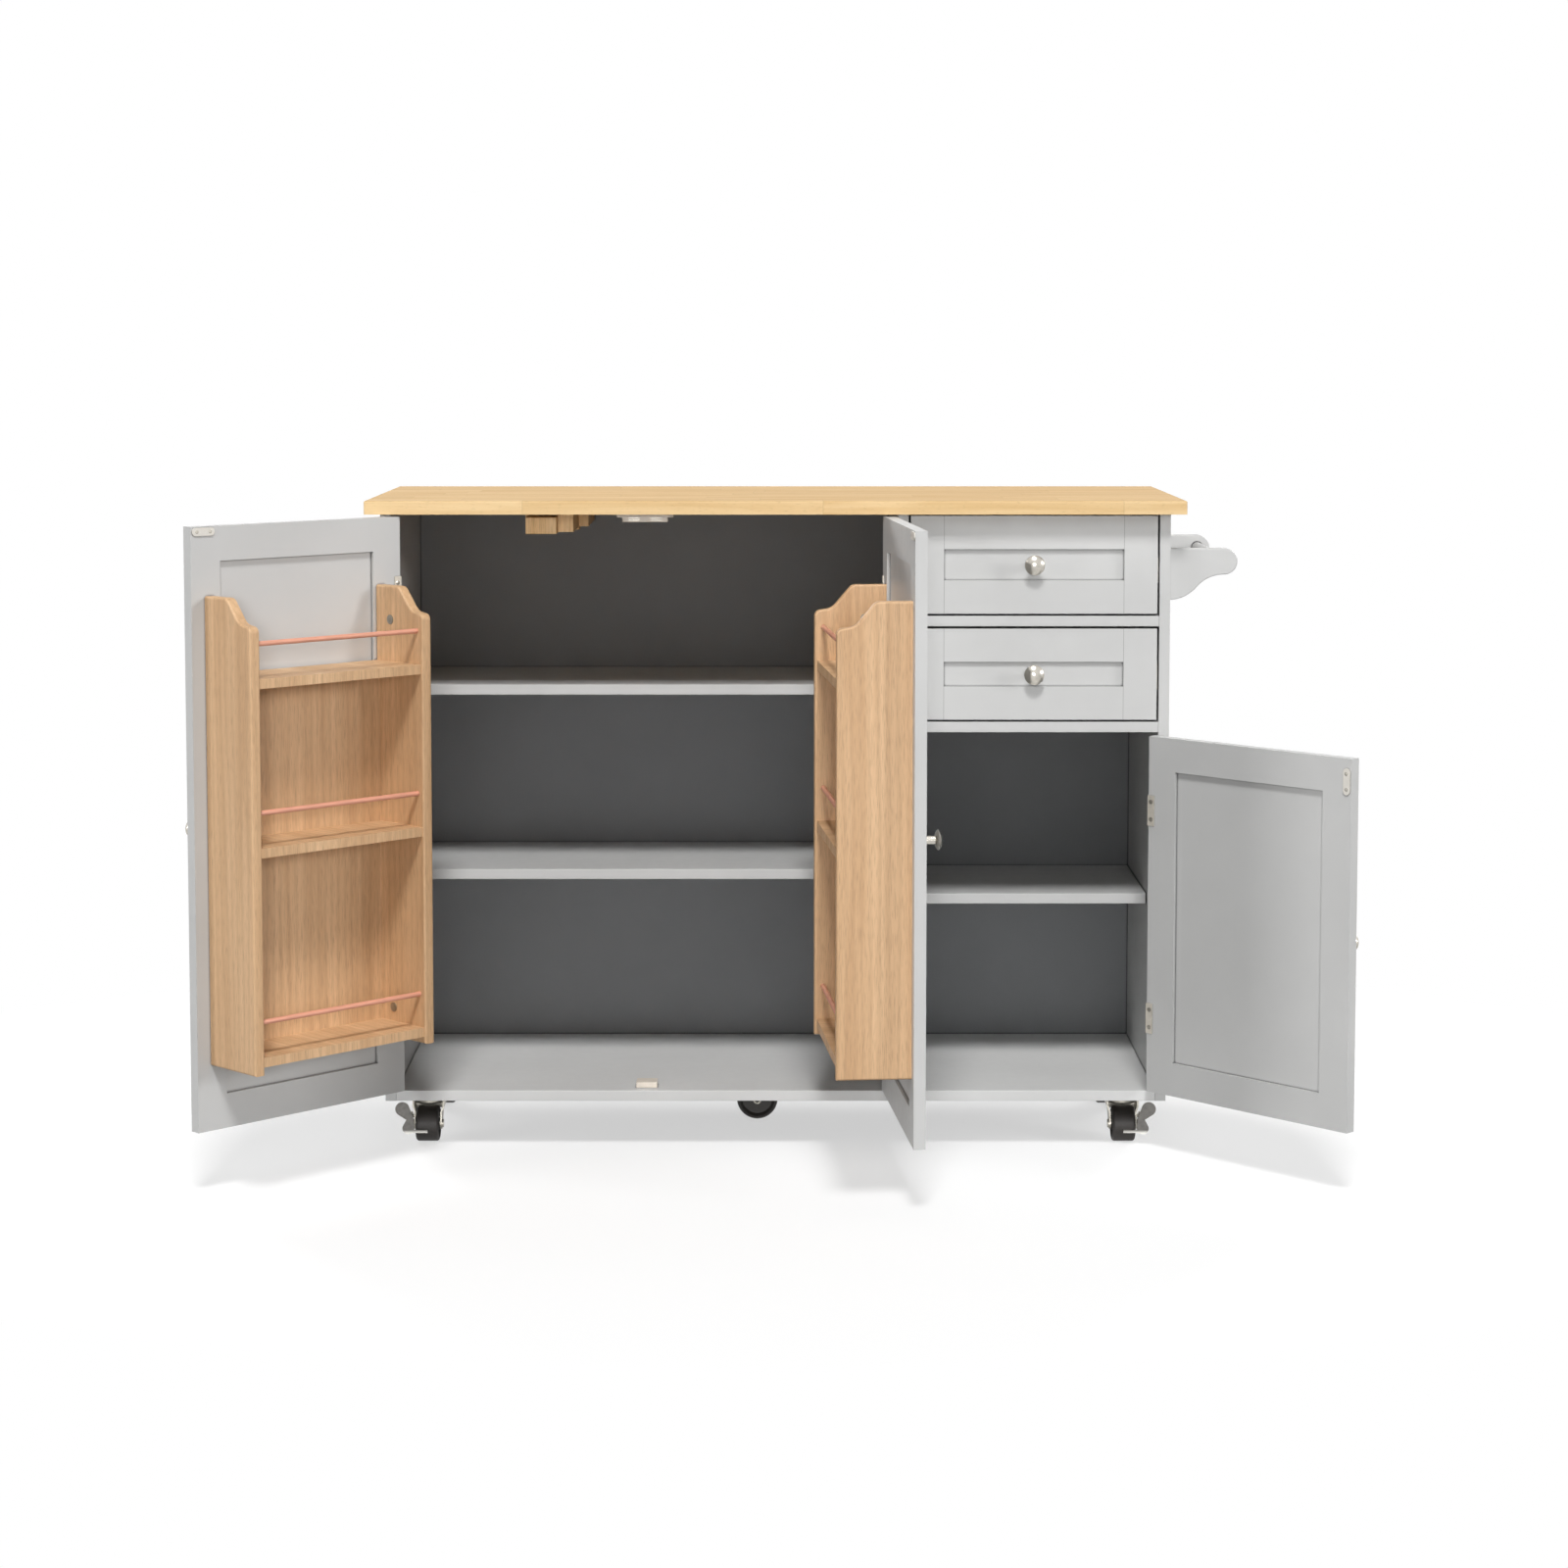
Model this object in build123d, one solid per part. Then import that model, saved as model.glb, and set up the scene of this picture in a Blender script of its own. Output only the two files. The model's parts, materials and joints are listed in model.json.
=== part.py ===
from build123d import *

import os

# Rolling kitchen-island cabinet with pantry doors, in millimetres. The origin is on the floor below the
# middle of the worktop, +X to the right as seen from the front, +Y to the back and +Z up. The three doors
# stand open, the drawers are shut and the drop leaf hangs.

# Worktop and drop leaf
TOP_W = 1150.0
TOP_D = 440.0
TOP_T = 19.0
TOP_HEIGHT = 926.0
TOP_EDGE_R = 2.0
LEAF_D = 280.0
LEAF_SEAM = 2.0

# Carcass boards
SIDE_OVERHANG = 20.0
FRONT_OVERHANG = 25.0
BACK_OVERHANG = 20.0
BOARD_T = 15.0
CASTER_H = 70.0
RIGHT_BAY_W = 353.0
RAIL_D = 60.0

# Shelves and their pins
SHELF_SETBACK = 124.0
SHELF_SIDE_PLAY = 1.5
SHELF_BACK_PLAY = 2.0
UPPER_SHELF_RISE = 552.5
LOWER_SHELF_RISE = 283.0
RIGHT_SHELF_RISE = 247.0
SHELF_PIN_R = 2.5
SHELF_PIN_OUT = 9.0
SHELF_PIN_IN = 8.0
SHELF_PIN_INSET = 40.0
PIN_HOLE_PLAY = 0.1

# Framed doors and drawer fronts
DOOR_T = 16.0
GAP = 3.0
BOTTOM_GAP = 4.0
FRAME_W = 47.0
PANEL_T = 6.0
GROOVE_D = 8.0
LEFT_OPEN_DEG = 135.0
RIGHT_OPEN_DEG = 95.0
SMALL_OPEN_DEG = 134.0

# Butt hinges that wrap round the door's edge
HINGE_H = 43.0
HINGE_INSET = 105.0
HINGE_SHEET = 1.2
KNUCKLE_R = 3.2
KNUCKLE_GAP = 0.3
KNUCKLE_ROOM = 0.5
PIN_R = 1.5
PIN_OUT = 4.0
RUNNING_PLAY = 0.05
FRAME_LEAF_D = 28.0
WRAP_W = 10.0

# Mushroom knobs
KNOB_R = 14.0
KNOB_H = 24.0
KNOB_NECK_R = 5.5
KNOB_BASE_R = 8.5
KNOB_BASE_H = 2.5
KNOB_HEAD_H = 10.0
KNOB_RIM_H = 4.5

# Magnetic catches, strikes and the door stop
STRIKE_L = 36.0
STRIKE_W = 11.0
STRIKE_T = 1.5
STRIKE_EDGE = 20.0
STRIKE_DROP = 7.0
SMALL_STRIKE_EDGE = 7.5
SMALL_STRIKE_DROP = 31.0
CATCH_W = 64.0
CATCH_D = 20.0
CATCH_H = 13.0
CATCH_FLANGE_W = 79.0
CATCH_FLANGE_T = 6.5
SMALL_CATCH_H = 42.0
CATCH_PLAY = 0.5
STOP_W = 30.0
STOP_D = 28.0
STOP_H = 8.0

# Door racks
RACK_D = 100.0
RACK_HINGE_INSET = 26.0
RACK_FREE_INSET = 21.5
RACK_RISE = 89.0
RACK_HEADROOM = 93.0
RACK_SIDE_T = 16.0
RACK_EDGE_R = 3.0
RACK_TOP_FLAT = 48.0
RACK_STEP_H = 33.0
RACK_LEDGE_L = 24.0
RACK_LEDGE_FALL = 3.0
RACK_SHOULDER_R = 12.0
RACK_COVE_R = 22.0
RACK_NOSE_R = 9.0
RACK_SHELF_T = 13.0
RACK_SHELF_INSET = 3.0
RACK_SHELF_RISES = (10.0, 290.0)
RACK_TOP_SHELF_DROP = 118.0
RACK_BACK_T = 5.0
RACK_RAIL_R = 3.5
RACK_RAIL_INSET = 12.0
RACK_RAIL_ABOVE = 46.0
RACK_RAIL_TENON = 6.0
CAM_R = 6.5
CAM_DEPTH = 11.0
CAM_PROUD = 0.8
CAM_BACK = 30.0
CAM_TOP_DROP = 47.0
CAM_BOTTOM_RISE = 42.0
CAM_BOLT_R = 3.0
CAM_BOLT_IN_DOOR = 10.0
FIT_PLAY = 0.15

# Drawers and their runners
UPPER_DRAWER_H = 138.0
LOWER_DRAWER_H = 129.0
DRAWER_BOX_H = 92.0
DRAWER_BOX_LIFT = 14.0
DRAWER_BOX_D = 320.0
DRAWER_WALL_T = 12.0
DRAWER_FLOOR_T = 5.0
DRAWER_FLOOR_LIFT = 8.0
RUNNER_SPACE = 13.0
RUNNER_L = 300.0
RUNNER_H = 36.0
RUNNER_SHEET = 1.2
RUNNER_PLAY = 0.3
RUNNER_SETBACK = 20.0

# Towel rail
BRACKET_T = 18.0
BRACKET_REACH = 78.0
BRACKET_ROOT_H = 73.0
BRACKET_NOSE_R = 18.5
BRACKET_DROP = 50.0
BRACKET_SETBACK = 17.0
BRACKET_SPACING = 303.0
TOWEL_BAR_R = 8.0
TOWEL_BAR_TENON = 10.0

# Drop-leaf hinges
LEAF_HINGE_W = 60.0
LEAF_HINGE_D = 48.0
LEAF_HINGE_SHEET = 2.0
LEAF_HINGE_INSET = 155.0
LEAF_PIN_DROP = 2.2
LEAF_KNUCKLE_W = 16.0

# Pull-out support bar of the leaf and its guides
BAR_W = 44.0
BAR_H = 24.0
BAR_DROP = 8.5
BAR_FROM_SIDE = 206.5
BAR_SETBACK = 60.0
BAR_PAD_SETBACK = 80.0
BAR_BACK_SHORT = 4.0
BAR_PLAY = 0.4
GUIDE_SHORT = 1.5
RIGHT_GUIDE_W = 22.0
RIGHT_GUIDE_SETBACK = 85.0
LEFT_GUIDE_W = 12.0
LEFT_GUIDE_SETBACK = 222.0
SIDE_BATTEN_W = 14.0
KEEPER_T = 3.0
KEEPER_L = 40.0

# Casters
CASTER_SIDE_INSET = 55.0
CASTER_INSET = 80.0
CASTER_TRAIL = 27.0
PLATE_W = 58.0
PLATE_T = 2.5
PLATE_HOLE_R = 2.6
PLATE_HOLE_PITCH = 44.0
CUP_R = 23.0
CUP_PLAY = 1.5
RACE_GAP = 0.4
KINGPIN_R = 4.0
KINGPIN_HEAD_R = 6.5
KINGPIN_HEAD_H = 2.0
WHEEL_R = 25.0
CENTRE_WHEEL_R = 30.0
WHEEL_W = 33.0
WHEEL_SHOULDER = 4.0
HUB_R = 9.0
WHEEL_DISH = 4.0
HUB_PLAY = 0.3
FORK_PLAY = 1.0
FORK_SHEET = 2.5
FORK_EYE_R = 8.0
FORK_TOP_L = 32.0
FORK_TOP_BACK = 10.0
FORK_BEND_H = 8.0
AXLE_R = 4.0
AXLE_HEAD_R = 6.0
AXLE_HEAD_T = 2.0

# Brake pedals of the front casters
PEDAL_T = 2.5
PEDAL_TREAD_GAP = 0.5
PEDAL_PAD_R = 10.0
PEDAL_PAD_OUT = 9.5
PEDAL_PAD_Z = 52.0
PEDAL_FOOT_R = 8.5
PEDAL_FOOT_OUT = 1.0
PEDAL_FOOT_Z = 24.0
PEDAL_WAIST_W = 8.5
PEDAL_WAIST_Z = 38.0
PEDAL_WAIST_LAP = 3.5
PEDAL_SHOE_H = 4.0
PEDAL_SHOE_Z = 19.5
PEDAL_SHOE_REACH = 1.5
PEDAL_PIVOT_R = 2.5
PEDAL_PIVOT_Z = 36.0
PEDAL_LUG_R = 6.0
PEDAL_SIDE_GAP = 0.4

# Planes and levels that the pieces share
side_x = TOP_W / 2 - SIDE_OVERHANG
bay_x = side_x - BOARD_T
front_y = FRONT_OVERHANG - TOP_D / 2
back_y = TOP_D / 2 - BACK_OVERHANG
wall_y = back_y - BOARD_T
deck_z = CASTER_H + BOARD_T
under_z = TOP_HEIGHT - TOP_T
divider_x1 = bay_x - RIGHT_BAY_W
divider_x0 = divider_x1 - BOARD_T
main_mid_x = (divider_x0 - bay_x) / 2
door_z0 = deck_z + BOTTOM_GAP
door_z1 = under_z - GAP
inner_y = front_y + DOOR_T
pin_y = front_y - PIN_OUT
main_door_w = (divider_x0 + bay_x - 3 * GAP) / 2
small_door_w = RIGHT_BAY_W - 2 * GAP
rail_step = BOARD_T + 2 * GAP
upper_drawer_z = door_z1 - UPPER_DRAWER_H
lower_drawer_z = upper_drawer_z - rail_step - LOWER_DRAWER_H
small_door_z1 = lower_drawer_z - rail_step
bar_mid_x = BAR_FROM_SIDE - bay_x

LOW = (Align.MIN, Align.MIN, Align.MIN)
ON_END = (Align.CENTER, Align.CENTER, Align.MIN)


def board(x0, x1, y0, y1, z0, z1):
    """A square-edged board between two opposite corners."""
    low = (min(x0, x1), min(y0, y1), min(z0, z1))
    return Pos(*low) * Box(abs(x1 - x0), abs(y1 - y0), abs(z1 - z0), align=LOW)


def rod_x(x0, x1, y, z, radius):
    """A round bar along X."""
    return Pos(min(x0, x1), y, z) * Rot(0, 90, 0) * Cylinder(radius, abs(x1 - x0), align=ON_END)


def rod_y(x, y0, y1, z, radius):
    """A round bar along Y."""
    return Pos(x, min(y0, y1), z) * Rot(-90, 0, 0) * Cylinder(radius, abs(y1 - y0), align=ON_END)


def rod_z(x, y, z0, z1, radius):
    """A round bar along Z."""
    return Pos(x, y, min(z0, z1)) * Cylinder(radius, abs(z1 - z0), align=ON_END)


def s_curve(start, end):
    """Two equal arcs that leave and arrive level, along the sketch's first axis."""
    middle = ((start[0] + end[0]) / 2, (start[1] + end[1]) / 2)
    way = 1 if end[0] > start[0] else -1
    return [TangentArc(start, middle, tangent=(way, 0)), TangentArc(end, middle, tangent=(-way, 0))]


def side_plate(outline, x0, thickness):
    """An outline in Y and Z, given a thickness along +X from x0."""
    return Pos(x0, 0, 0) * extrude(Plane.YZ * make_face(outline), amount=thickness)


def knob(x, y, z):
    """A turned mushroom knob whose base sits at y and whose head points to the front."""
    neck_h = KNOB_H - KNOB_HEAD_H
    rim = (KNOB_R, neck_h + KNOB_RIM_H)
    crown = (0, KNOB_H)
    outline = [
        Line((0, 0), (KNOB_BASE_R, 0)),
        Line((KNOB_BASE_R, 0), (KNOB_BASE_R, KNOB_BASE_H)),
        Line((KNOB_BASE_R, KNOB_BASE_H), (KNOB_NECK_R, KNOB_BASE_H)),
        Line((KNOB_NECK_R, KNOB_BASE_H), (KNOB_NECK_R, neck_h)),
        TangentArc((KNOB_NECK_R, neck_h), rim, tangent=(1, 0)),
        TangentArc(crown, rim, tangent=(1, 0)),
        Line(crown, (0, 0)),
    ]
    turned = revolve(Plane.XZ * make_face(outline), axis=Axis.Z)
    return Pos(x, y, z) * Rot(90, 0, 0) * turned


def stadium(x, y, z, length, width, thickness, upright=False):
    """A thin plate with round ends whose back lies on the plane at y, facing +Y."""
    plate = extrude(SlotOverall(length, width), amount=thickness)
    if upright:
        plate = Rot(0, 0, 90) * plate
    return Pos(x, y + thickness, z) * Rot(90, 0, 0) * plate


class Front:
    """A framed front, drawn shut: u runs from the carcass face by its hinge, w in from its outer face."""

    def __init__(self, face_x, reach, width, z0, z1):
        self.face_x = face_x
        self.reach = reach
        self.width = width
        self.z0 = z0
        self.z1 = z1
        self.u0 = GAP
        self.u1 = GAP + width
        self.inner_u0 = self.u0 + FRAME_W
        self.inner_u1 = self.u1 - FRAME_W
        self.skin = (DOOR_T - PANEL_T) / 2
        self.pin_x = self.x(GAP / 2)

    def x(self, u):
        return self.face_x + self.reach * u

    def slab(self, u0, u1, w0, w1, z0, z1):
        return board(self.x(u0), self.x(u1), front_y + w0, front_y + w1, z0, z1)

    def core(self, z0, z1):
        """What lies in the grooves: a slab of the panel's thickness from groove to groove."""
        u0 = self.inner_u0 - GROOVE_D
        u1 = self.inner_u1 + GROOVE_D
        return self.slab(u0, u1, self.skin, self.skin + PANEL_T, z0, z1)

    def panel(self):
        reach_in = FRAME_W - GROOVE_D
        return self.core(self.z0 + reach_in, self.z1 - reach_in)

    def frame(self):
        """Two full-height grooved stiles, and two rails with tongues in the same grooves."""
        stiles = [
            self.slab(self.u0, self.inner_u0, 0, DOOR_T, self.z0, self.z1),
            self.slab(self.inner_u1, self.u1, 0, DOOR_T, self.z0, self.z1),
        ]
        bars = [stile - self.core(self.z0, self.z1) for stile in stiles]
        for z0, z1 in ((self.z0, self.z0 + FRAME_W), (self.z1 - FRAME_W, self.z1)):
            rail = self.slab(self.inner_u0, self.inner_u1, 0, DOOR_T, z0, z1)
            bars.append(rail + self.core(z0, z1) - self.panel())
        return bars

    def stile_knob(self):
        """The knob on the free stile, half way up."""
        return knob(self.x(self.u1 - FRAME_W / 2), front_y, (self.z0 + self.z1) / 2)

    def hinge_levels(self, count):
        low = self.z0 + HINGE_INSET
        step = (self.z1 - HINGE_INSET - low) / (count - 1)
        return [low + step * i for i in range(count)]

    def hinge(self, z):
        """The carcass leaf, the door leaf and the pin of one hinge, whose middle knuckle is the door's."""
        third = HINGE_H / 3
        z0 = z - HINGE_H / 2
        z1 = z + HINGE_H / 2
        room_r = KNUCKLE_R + KNUCKLE_ROOM
        knuckles = []
        rooms = []
        for i in range(3):
            low = z0 + third * i
            knuckles.append(rod_z(self.pin_x, pin_y, low + KNUCKLE_GAP * (i > 0), low + third, KNUCKLE_R))
            rooms.append(rod_z(self.pin_x, pin_y, low, low + third + KNUCKLE_GAP, room_r))
        pin = rod_z(self.pin_x, pin_y, z0, z1, PIN_R)
        fixed = self.slab(0, HINGE_SHEET, -PIN_OUT, FRAME_LEAF_D, z0, z1) - rooms[1]
        fixed = fixed + knuckles[0] + knuckles[2] - pin
        edge = self.slab(GAP - HINGE_SHEET, GAP, -PIN_OUT, DOOR_T + HINGE_SHEET, z0, z1)
        wrap = self.slab(GAP - HINGE_SHEET, GAP + WRAP_W, DOOR_T, DOOR_T + HINGE_SHEET, z0, z1)
        moving = edge + wrap - rooms[0] - rooms[2] + knuckles[1]
        moving = moving - rod_z(self.pin_x, pin_y, z0, z1, PIN_R + RUNNING_PLAY)
        return fixed, moving, pin

    def swing(self, solids, degrees):
        """The same solids with the door opened about its pin."""
        axis = Axis((self.pin_x, pin_y, 0), (0, 0, 1))
        return [solid.rotate(axis, -self.reach * degrees) for solid in solids]


left_door = Front(-bay_x, 1, main_door_w, door_z0, door_z1)
right_door = Front(divider_x0, -1, main_door_w, door_z0, door_z1)
small_door = Front(bay_x, -1, small_door_w, door_z0, small_door_z1)
MAIN_HINGES = 3
SMALL_HINGES = 2


def shelf_layout():
    """The three shelves, as left face, right face and underside level."""
    return [
        (-bay_x, divider_x0, deck_z + UPPER_SHELF_RISE),
        (-bay_x, divider_x0, deck_z + LOWER_SHELF_RISE),
        (divider_x1, bay_x, deck_z + RIGHT_SHELF_RISE),
    ]


def shelf_rows():
    """The front and back rows of shelf pins."""
    return front_y + SHELF_SETBACK + SHELF_PIN_INSET, wall_y - SHELF_BACK_PLAY - SHELF_PIN_INSET


def shelf_pins(play=0.0):
    """Pins half in the upright and half under the shelf; with play, the holes that they need."""
    pins = []
    for x0, x1, z in shelf_layout():
        for y in shelf_rows():
            for face, way in ((x0, 1), (x1, -1)):
                inner = face - way * SHELF_PIN_IN
                pins.append(rod_x(inner, face + way * SHELF_PIN_OUT, y, z - SHELF_PIN_R, SHELF_PIN_R + play))
    return pins


def carcass():
    """The uprights, the bottom and the back, with the shelf pin holes and the notch for the support bar."""
    left = board(-side_x, -bay_x, front_y, back_y, CASTER_H, under_z)
    right = board(bay_x, side_x, front_y, back_y, CASTER_H, under_z)
    divider = board(divider_x0, divider_x1, front_y, wall_y, deck_z, under_z)
    bottom = board(-bay_x, bay_x, front_y, back_y, CASTER_H, deck_z)
    back = board(-bay_x, bay_x, wall_y, back_y, deck_z, under_z)
    notch_x0 = bar_mid_x - BAR_W / 2 - BAR_PLAY
    notch_x1 = bar_mid_x + BAR_W / 2 + BAR_PLAY
    notch_z = under_z - BAR_DROP - BAR_H - BAR_PLAY
    back = back - board(notch_x0, notch_x1, wall_y, back_y, notch_z, under_z)
    holes = shelf_pins(PIN_HOLE_PLAY)
    left, right, divider = (upright - holes for upright in (left, right, divider))
    return left, right, divider, bottom, back


def shelves():
    boards = []
    for x0, x1, z in shelf_layout():
        boards.append(
            board(
                x0 + SHELF_SIDE_PLAY,
                x1 - SHELF_SIDE_PLAY,
                front_y + SHELF_SETBACK,
                wall_y - SHELF_BACK_PLAY,
                z,
                z + BOARD_T,
            )
        )
    return boards


def drawer_rails():
    """The front rails under each drawer."""
    tops = (upper_drawer_z - GAP, lower_drawer_z - GAP)
    return [board(divider_x1, bay_x, front_y, front_y + RAIL_D, z - BOARD_T, z) for z in tops]


def catches():
    """The double magnet under the worktop, the single one on the divider and the stop on the bottom."""
    face_y = inner_y + STRIKE_T + CATCH_PLAY
    double = Part()
    for width, height in ((CATCH_W, CATCH_H), (CATCH_FLANGE_W, CATCH_FLANGE_T)):
        x0 = main_mid_x - width / 2
        double += board(x0, x0 + width, face_y, face_y + CATCH_D, under_z - height, under_z)
    strike_z = small_door_z1 - SMALL_STRIKE_DROP
    single = board(
        divider_x1,
        divider_x1 + CATCH_H,
        face_y,
        face_y + CATCH_D,
        strike_z - SMALL_CATCH_H / 2,
        strike_z + SMALL_CATCH_H / 2,
    )
    stop_x = main_mid_x - STOP_W / 2
    stop_y = inner_y + CATCH_PLAY
    stop = board(stop_x, stop_x + STOP_W, stop_y, stop_y + STOP_D, deck_z, deck_z + STOP_H)
    return [double, single, stop]


def towel_rack():
    """Two shaped brackets on the right side and the bar between them."""
    top_z = under_z - BRACKET_DROP
    nose_x = side_x + BRACKET_REACH
    nose_z = top_z - BRACKET_NOSE_R
    root_z = top_z - BRACKET_ROOT_H
    outline = [
        Line((side_x, root_z), (side_x, top_z)),
        Line((side_x, top_z), (nose_x, top_z)),
        ThreePointArc((nose_x, top_z), (nose_x + BRACKET_NOSE_R, nose_z), (nose_x, nose_z - BRACKET_NOSE_R)),
    ]
    outline += s_curve((nose_x, nose_z - BRACKET_NOSE_R), (side_x, root_z))
    bracket = extrude(Plane.XZ * make_face(outline), amount=-BRACKET_T)
    front_bracket_y = front_y + BRACKET_SETBACK
    rear_bracket_y = front_bracket_y + BRACKET_SPACING
    bar_y0 = front_bracket_y + BRACKET_T - TOWEL_BAR_TENON
    bar_y1 = rear_bracket_y + TOWEL_BAR_TENON
    socket = rod_y(nose_x, bar_y0, bar_y1, nose_z, TOWEL_BAR_R + FIT_PLAY)
    brackets = [Pos(0, y, 0) * bracket - socket for y in (front_bracket_y, rear_bracket_y)]
    return brackets + [rod_y(nose_x, bar_y0, bar_y1, nose_z, TOWEL_BAR_R)]


leaf_hinge_x = TOP_W / 2 - LEAF_HINGE_INSET
LEAF_HINGE_XS = (-leaf_hinge_x, 0.0, leaf_hinge_x)
leaf_pin_y = TOP_D / 2 + LEAF_SEAM / 2
leaf_pin_z = under_z - LEAF_PIN_DROP


def leaf_hinge_pockets(y0, y1):
    """Shallow mortises for the hinge plates in the underside between y0 and y1."""
    half = LEAF_HINGE_W / 2
    return [board(x - half, x + half, y0, y1, under_z, under_z + LEAF_HINGE_SHEET) for x in LEAF_HINGE_XS]


def worktop():
    top = board(-TOP_W / 2, TOP_W / 2, -TOP_D / 2, TOP_D / 2, under_z, TOP_HEIGHT)
    top = fillet(top.edges().filter_by(Axis.Z), TOP_EDGE_R)
    top = fillet(top.faces().sort_by(Axis.Z)[-1].edges(), TOP_EDGE_R)
    return top - leaf_hinge_pockets(TOP_D / 2 - LEAF_HINGE_D, TOP_D / 2)


def hang(solid):
    """A piece of the leaf, drawn raised, turned down about the leaf's hinge line."""
    return solid.rotate(Axis((0, leaf_pin_y, leaf_pin_z), (1, 0, 0)), -90)


def drop_leaf():
    y0 = TOP_D / 2 + LEAF_SEAM
    leaf = board(-TOP_W / 2, TOP_W / 2, y0, y0 + LEAF_D, under_z, TOP_HEIGHT)
    leaf = fillet(leaf.edges().filter_by(Axis.Z), TOP_EDGE_R)
    leaf = fillet(leaf.faces().sort_by(Axis.Z)[-1].edges(), TOP_EDGE_R)
    return hang(leaf - leaf_hinge_pockets(y0, y0 + LEAF_HINGE_D))


def leaf_hinges():
    """Fixed plates, moving plates and pins of the leaf's three hinges."""
    fixed_plates = []
    moving_plates = []
    pins = []
    half = LEAF_HINGE_W / 2
    ear = half - LEAF_KNUCKLE_W
    plate_top = under_z + LEAF_HINGE_SHEET
    ear_room = KNUCKLE_R + KNUCKLE_ROOM
    for x in LEAF_HINGE_XS:
        pin = rod_x(x - half, x + half, leaf_pin_y, leaf_pin_z, PIN_R)
        fixed = board(x - half, x + half, TOP_D / 2 - LEAF_HINGE_D, leaf_pin_y, under_z, plate_top)
        fixed = fixed - rod_x(x - ear - KNUCKLE_GAP, x + ear + KNUCKLE_GAP, leaf_pin_y, leaf_pin_z, ear_room)
        for way in (-1, 1):
            inner_x = x + way * (ear + KNUCKLE_GAP)
            fixed = fixed + rod_x(inner_x, x + way * half, leaf_pin_y, leaf_pin_z, KNUCKLE_R)
        moving = board(
            x - half, x + half, leaf_pin_y, TOP_D / 2 + LEAF_SEAM + LEAF_HINGE_D, under_z, plate_top
        )
        for way in (-1, 1):
            moving = moving - rod_x(x + way * ear, x + way * half, leaf_pin_y, leaf_pin_z, ear_room)
        moving = moving + rod_x(x - ear, x + ear, leaf_pin_y, leaf_pin_z, KNUCKLE_R)
        bore = rod_x(x - half, x + half, leaf_pin_y, leaf_pin_z, PIN_R + RUNNING_PLAY)
        fixed_plates.append(fixed - pin)
        moving_plates.append(hang(moving - bore))
        pins.append(pin)
    return fixed_plates, moving_plates, pins


def leaf_support():
    """The pull-out bar, stepped up behind its front end, and the cleats and keeper that carry it."""
    x0 = bar_mid_x - BAR_W / 2
    x1 = bar_mid_x + BAR_W / 2
    y0 = front_y + BAR_SETBACK
    y1 = TOP_D / 2 - BAR_BACK_SHORT
    bar_z1 = under_z - BAR_DROP
    bar_z0 = bar_z1 - BAR_H
    bar = board(x0, x1, y0, y1, bar_z0, bar_z1)
    bar = bar + board(x0, x1, y0 + BAR_PAD_SETBACK, y1, bar_z1, under_z - BAR_PLAY)
    right_y = front_y + RIGHT_GUIDE_SETBACK
    left_y = front_y + LEFT_GUIDE_SETBACK
    guide_z = bar_z0 + GUIDE_SHORT
    right_x = x1 + BAR_PLAY
    left_x = x0 - BAR_PLAY
    batten_x = right_x + RIGHT_GUIDE_W
    guides = [
        board(right_x, batten_x, right_y, wall_y, guide_z, under_z),
        board(left_x - LEFT_GUIDE_W, left_x, left_y, wall_y, guide_z, under_z),
        board(batten_x, batten_x + SIDE_BATTEN_W, left_y, wall_y, guide_z, under_z),
    ]
    keeper_z = bar_z0 - BAR_PLAY
    keeper = board(left_x - LEFT_GUIDE_W, batten_x, left_y, left_y + KEEPER_L, keeper_z - KEEPER_T, keeper_z)
    for block_x0, block_x1 in ((left_x - LEFT_GUIDE_W, left_x), (right_x, batten_x)):
        keeper = keeper + board(block_x0, block_x1, left_y, left_y + KEEPER_L, keeper_z, guide_z)
    return bar, guides + [keeper]


def rack_span(door):
    """Bottom and top levels of the rack on a door."""
    return door.z0 + RACK_RISE, door.z1 - RACK_HEADROOM


def rack_levels(door):
    """Underside levels of the rack's shelves."""
    z0, z1 = rack_span(door)
    return [z0 + rise for rise in RACK_SHELF_RISES] + [z1 - RACK_TOP_SHELF_DROP]


def rack_side(x, y0, z0, z1):
    """A rack side with round edges; its top is level at the back and steps down in an ogee to a ledge."""
    y1 = y0 + RACK_D
    ledge_z = z1 - RACK_STEP_H
    top = FilletPolyline(
        (y0, z1),
        (y0 + RACK_TOP_FLAT, z1),
        (y1 - RACK_LEDGE_L, ledge_z),
        (y1, ledge_z - RACK_LEDGE_FALL),
        (y1, z0),
        radius=(RACK_SHOULDER_R, RACK_COVE_R, RACK_NOSE_R),
    )
    rest = Polyline((y1, z0), (y0, z0), (y0, z1))
    side = side_plate(top.edges() + rest.edges(), x, RACK_SIDE_T)
    outlines = side.faces().filter_by(Axis.X).edges()
    return fillet([edge for edge in outlines if edge.center().Y > y0 + RACK_EDGE_R], RACK_EDGE_R)


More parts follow.
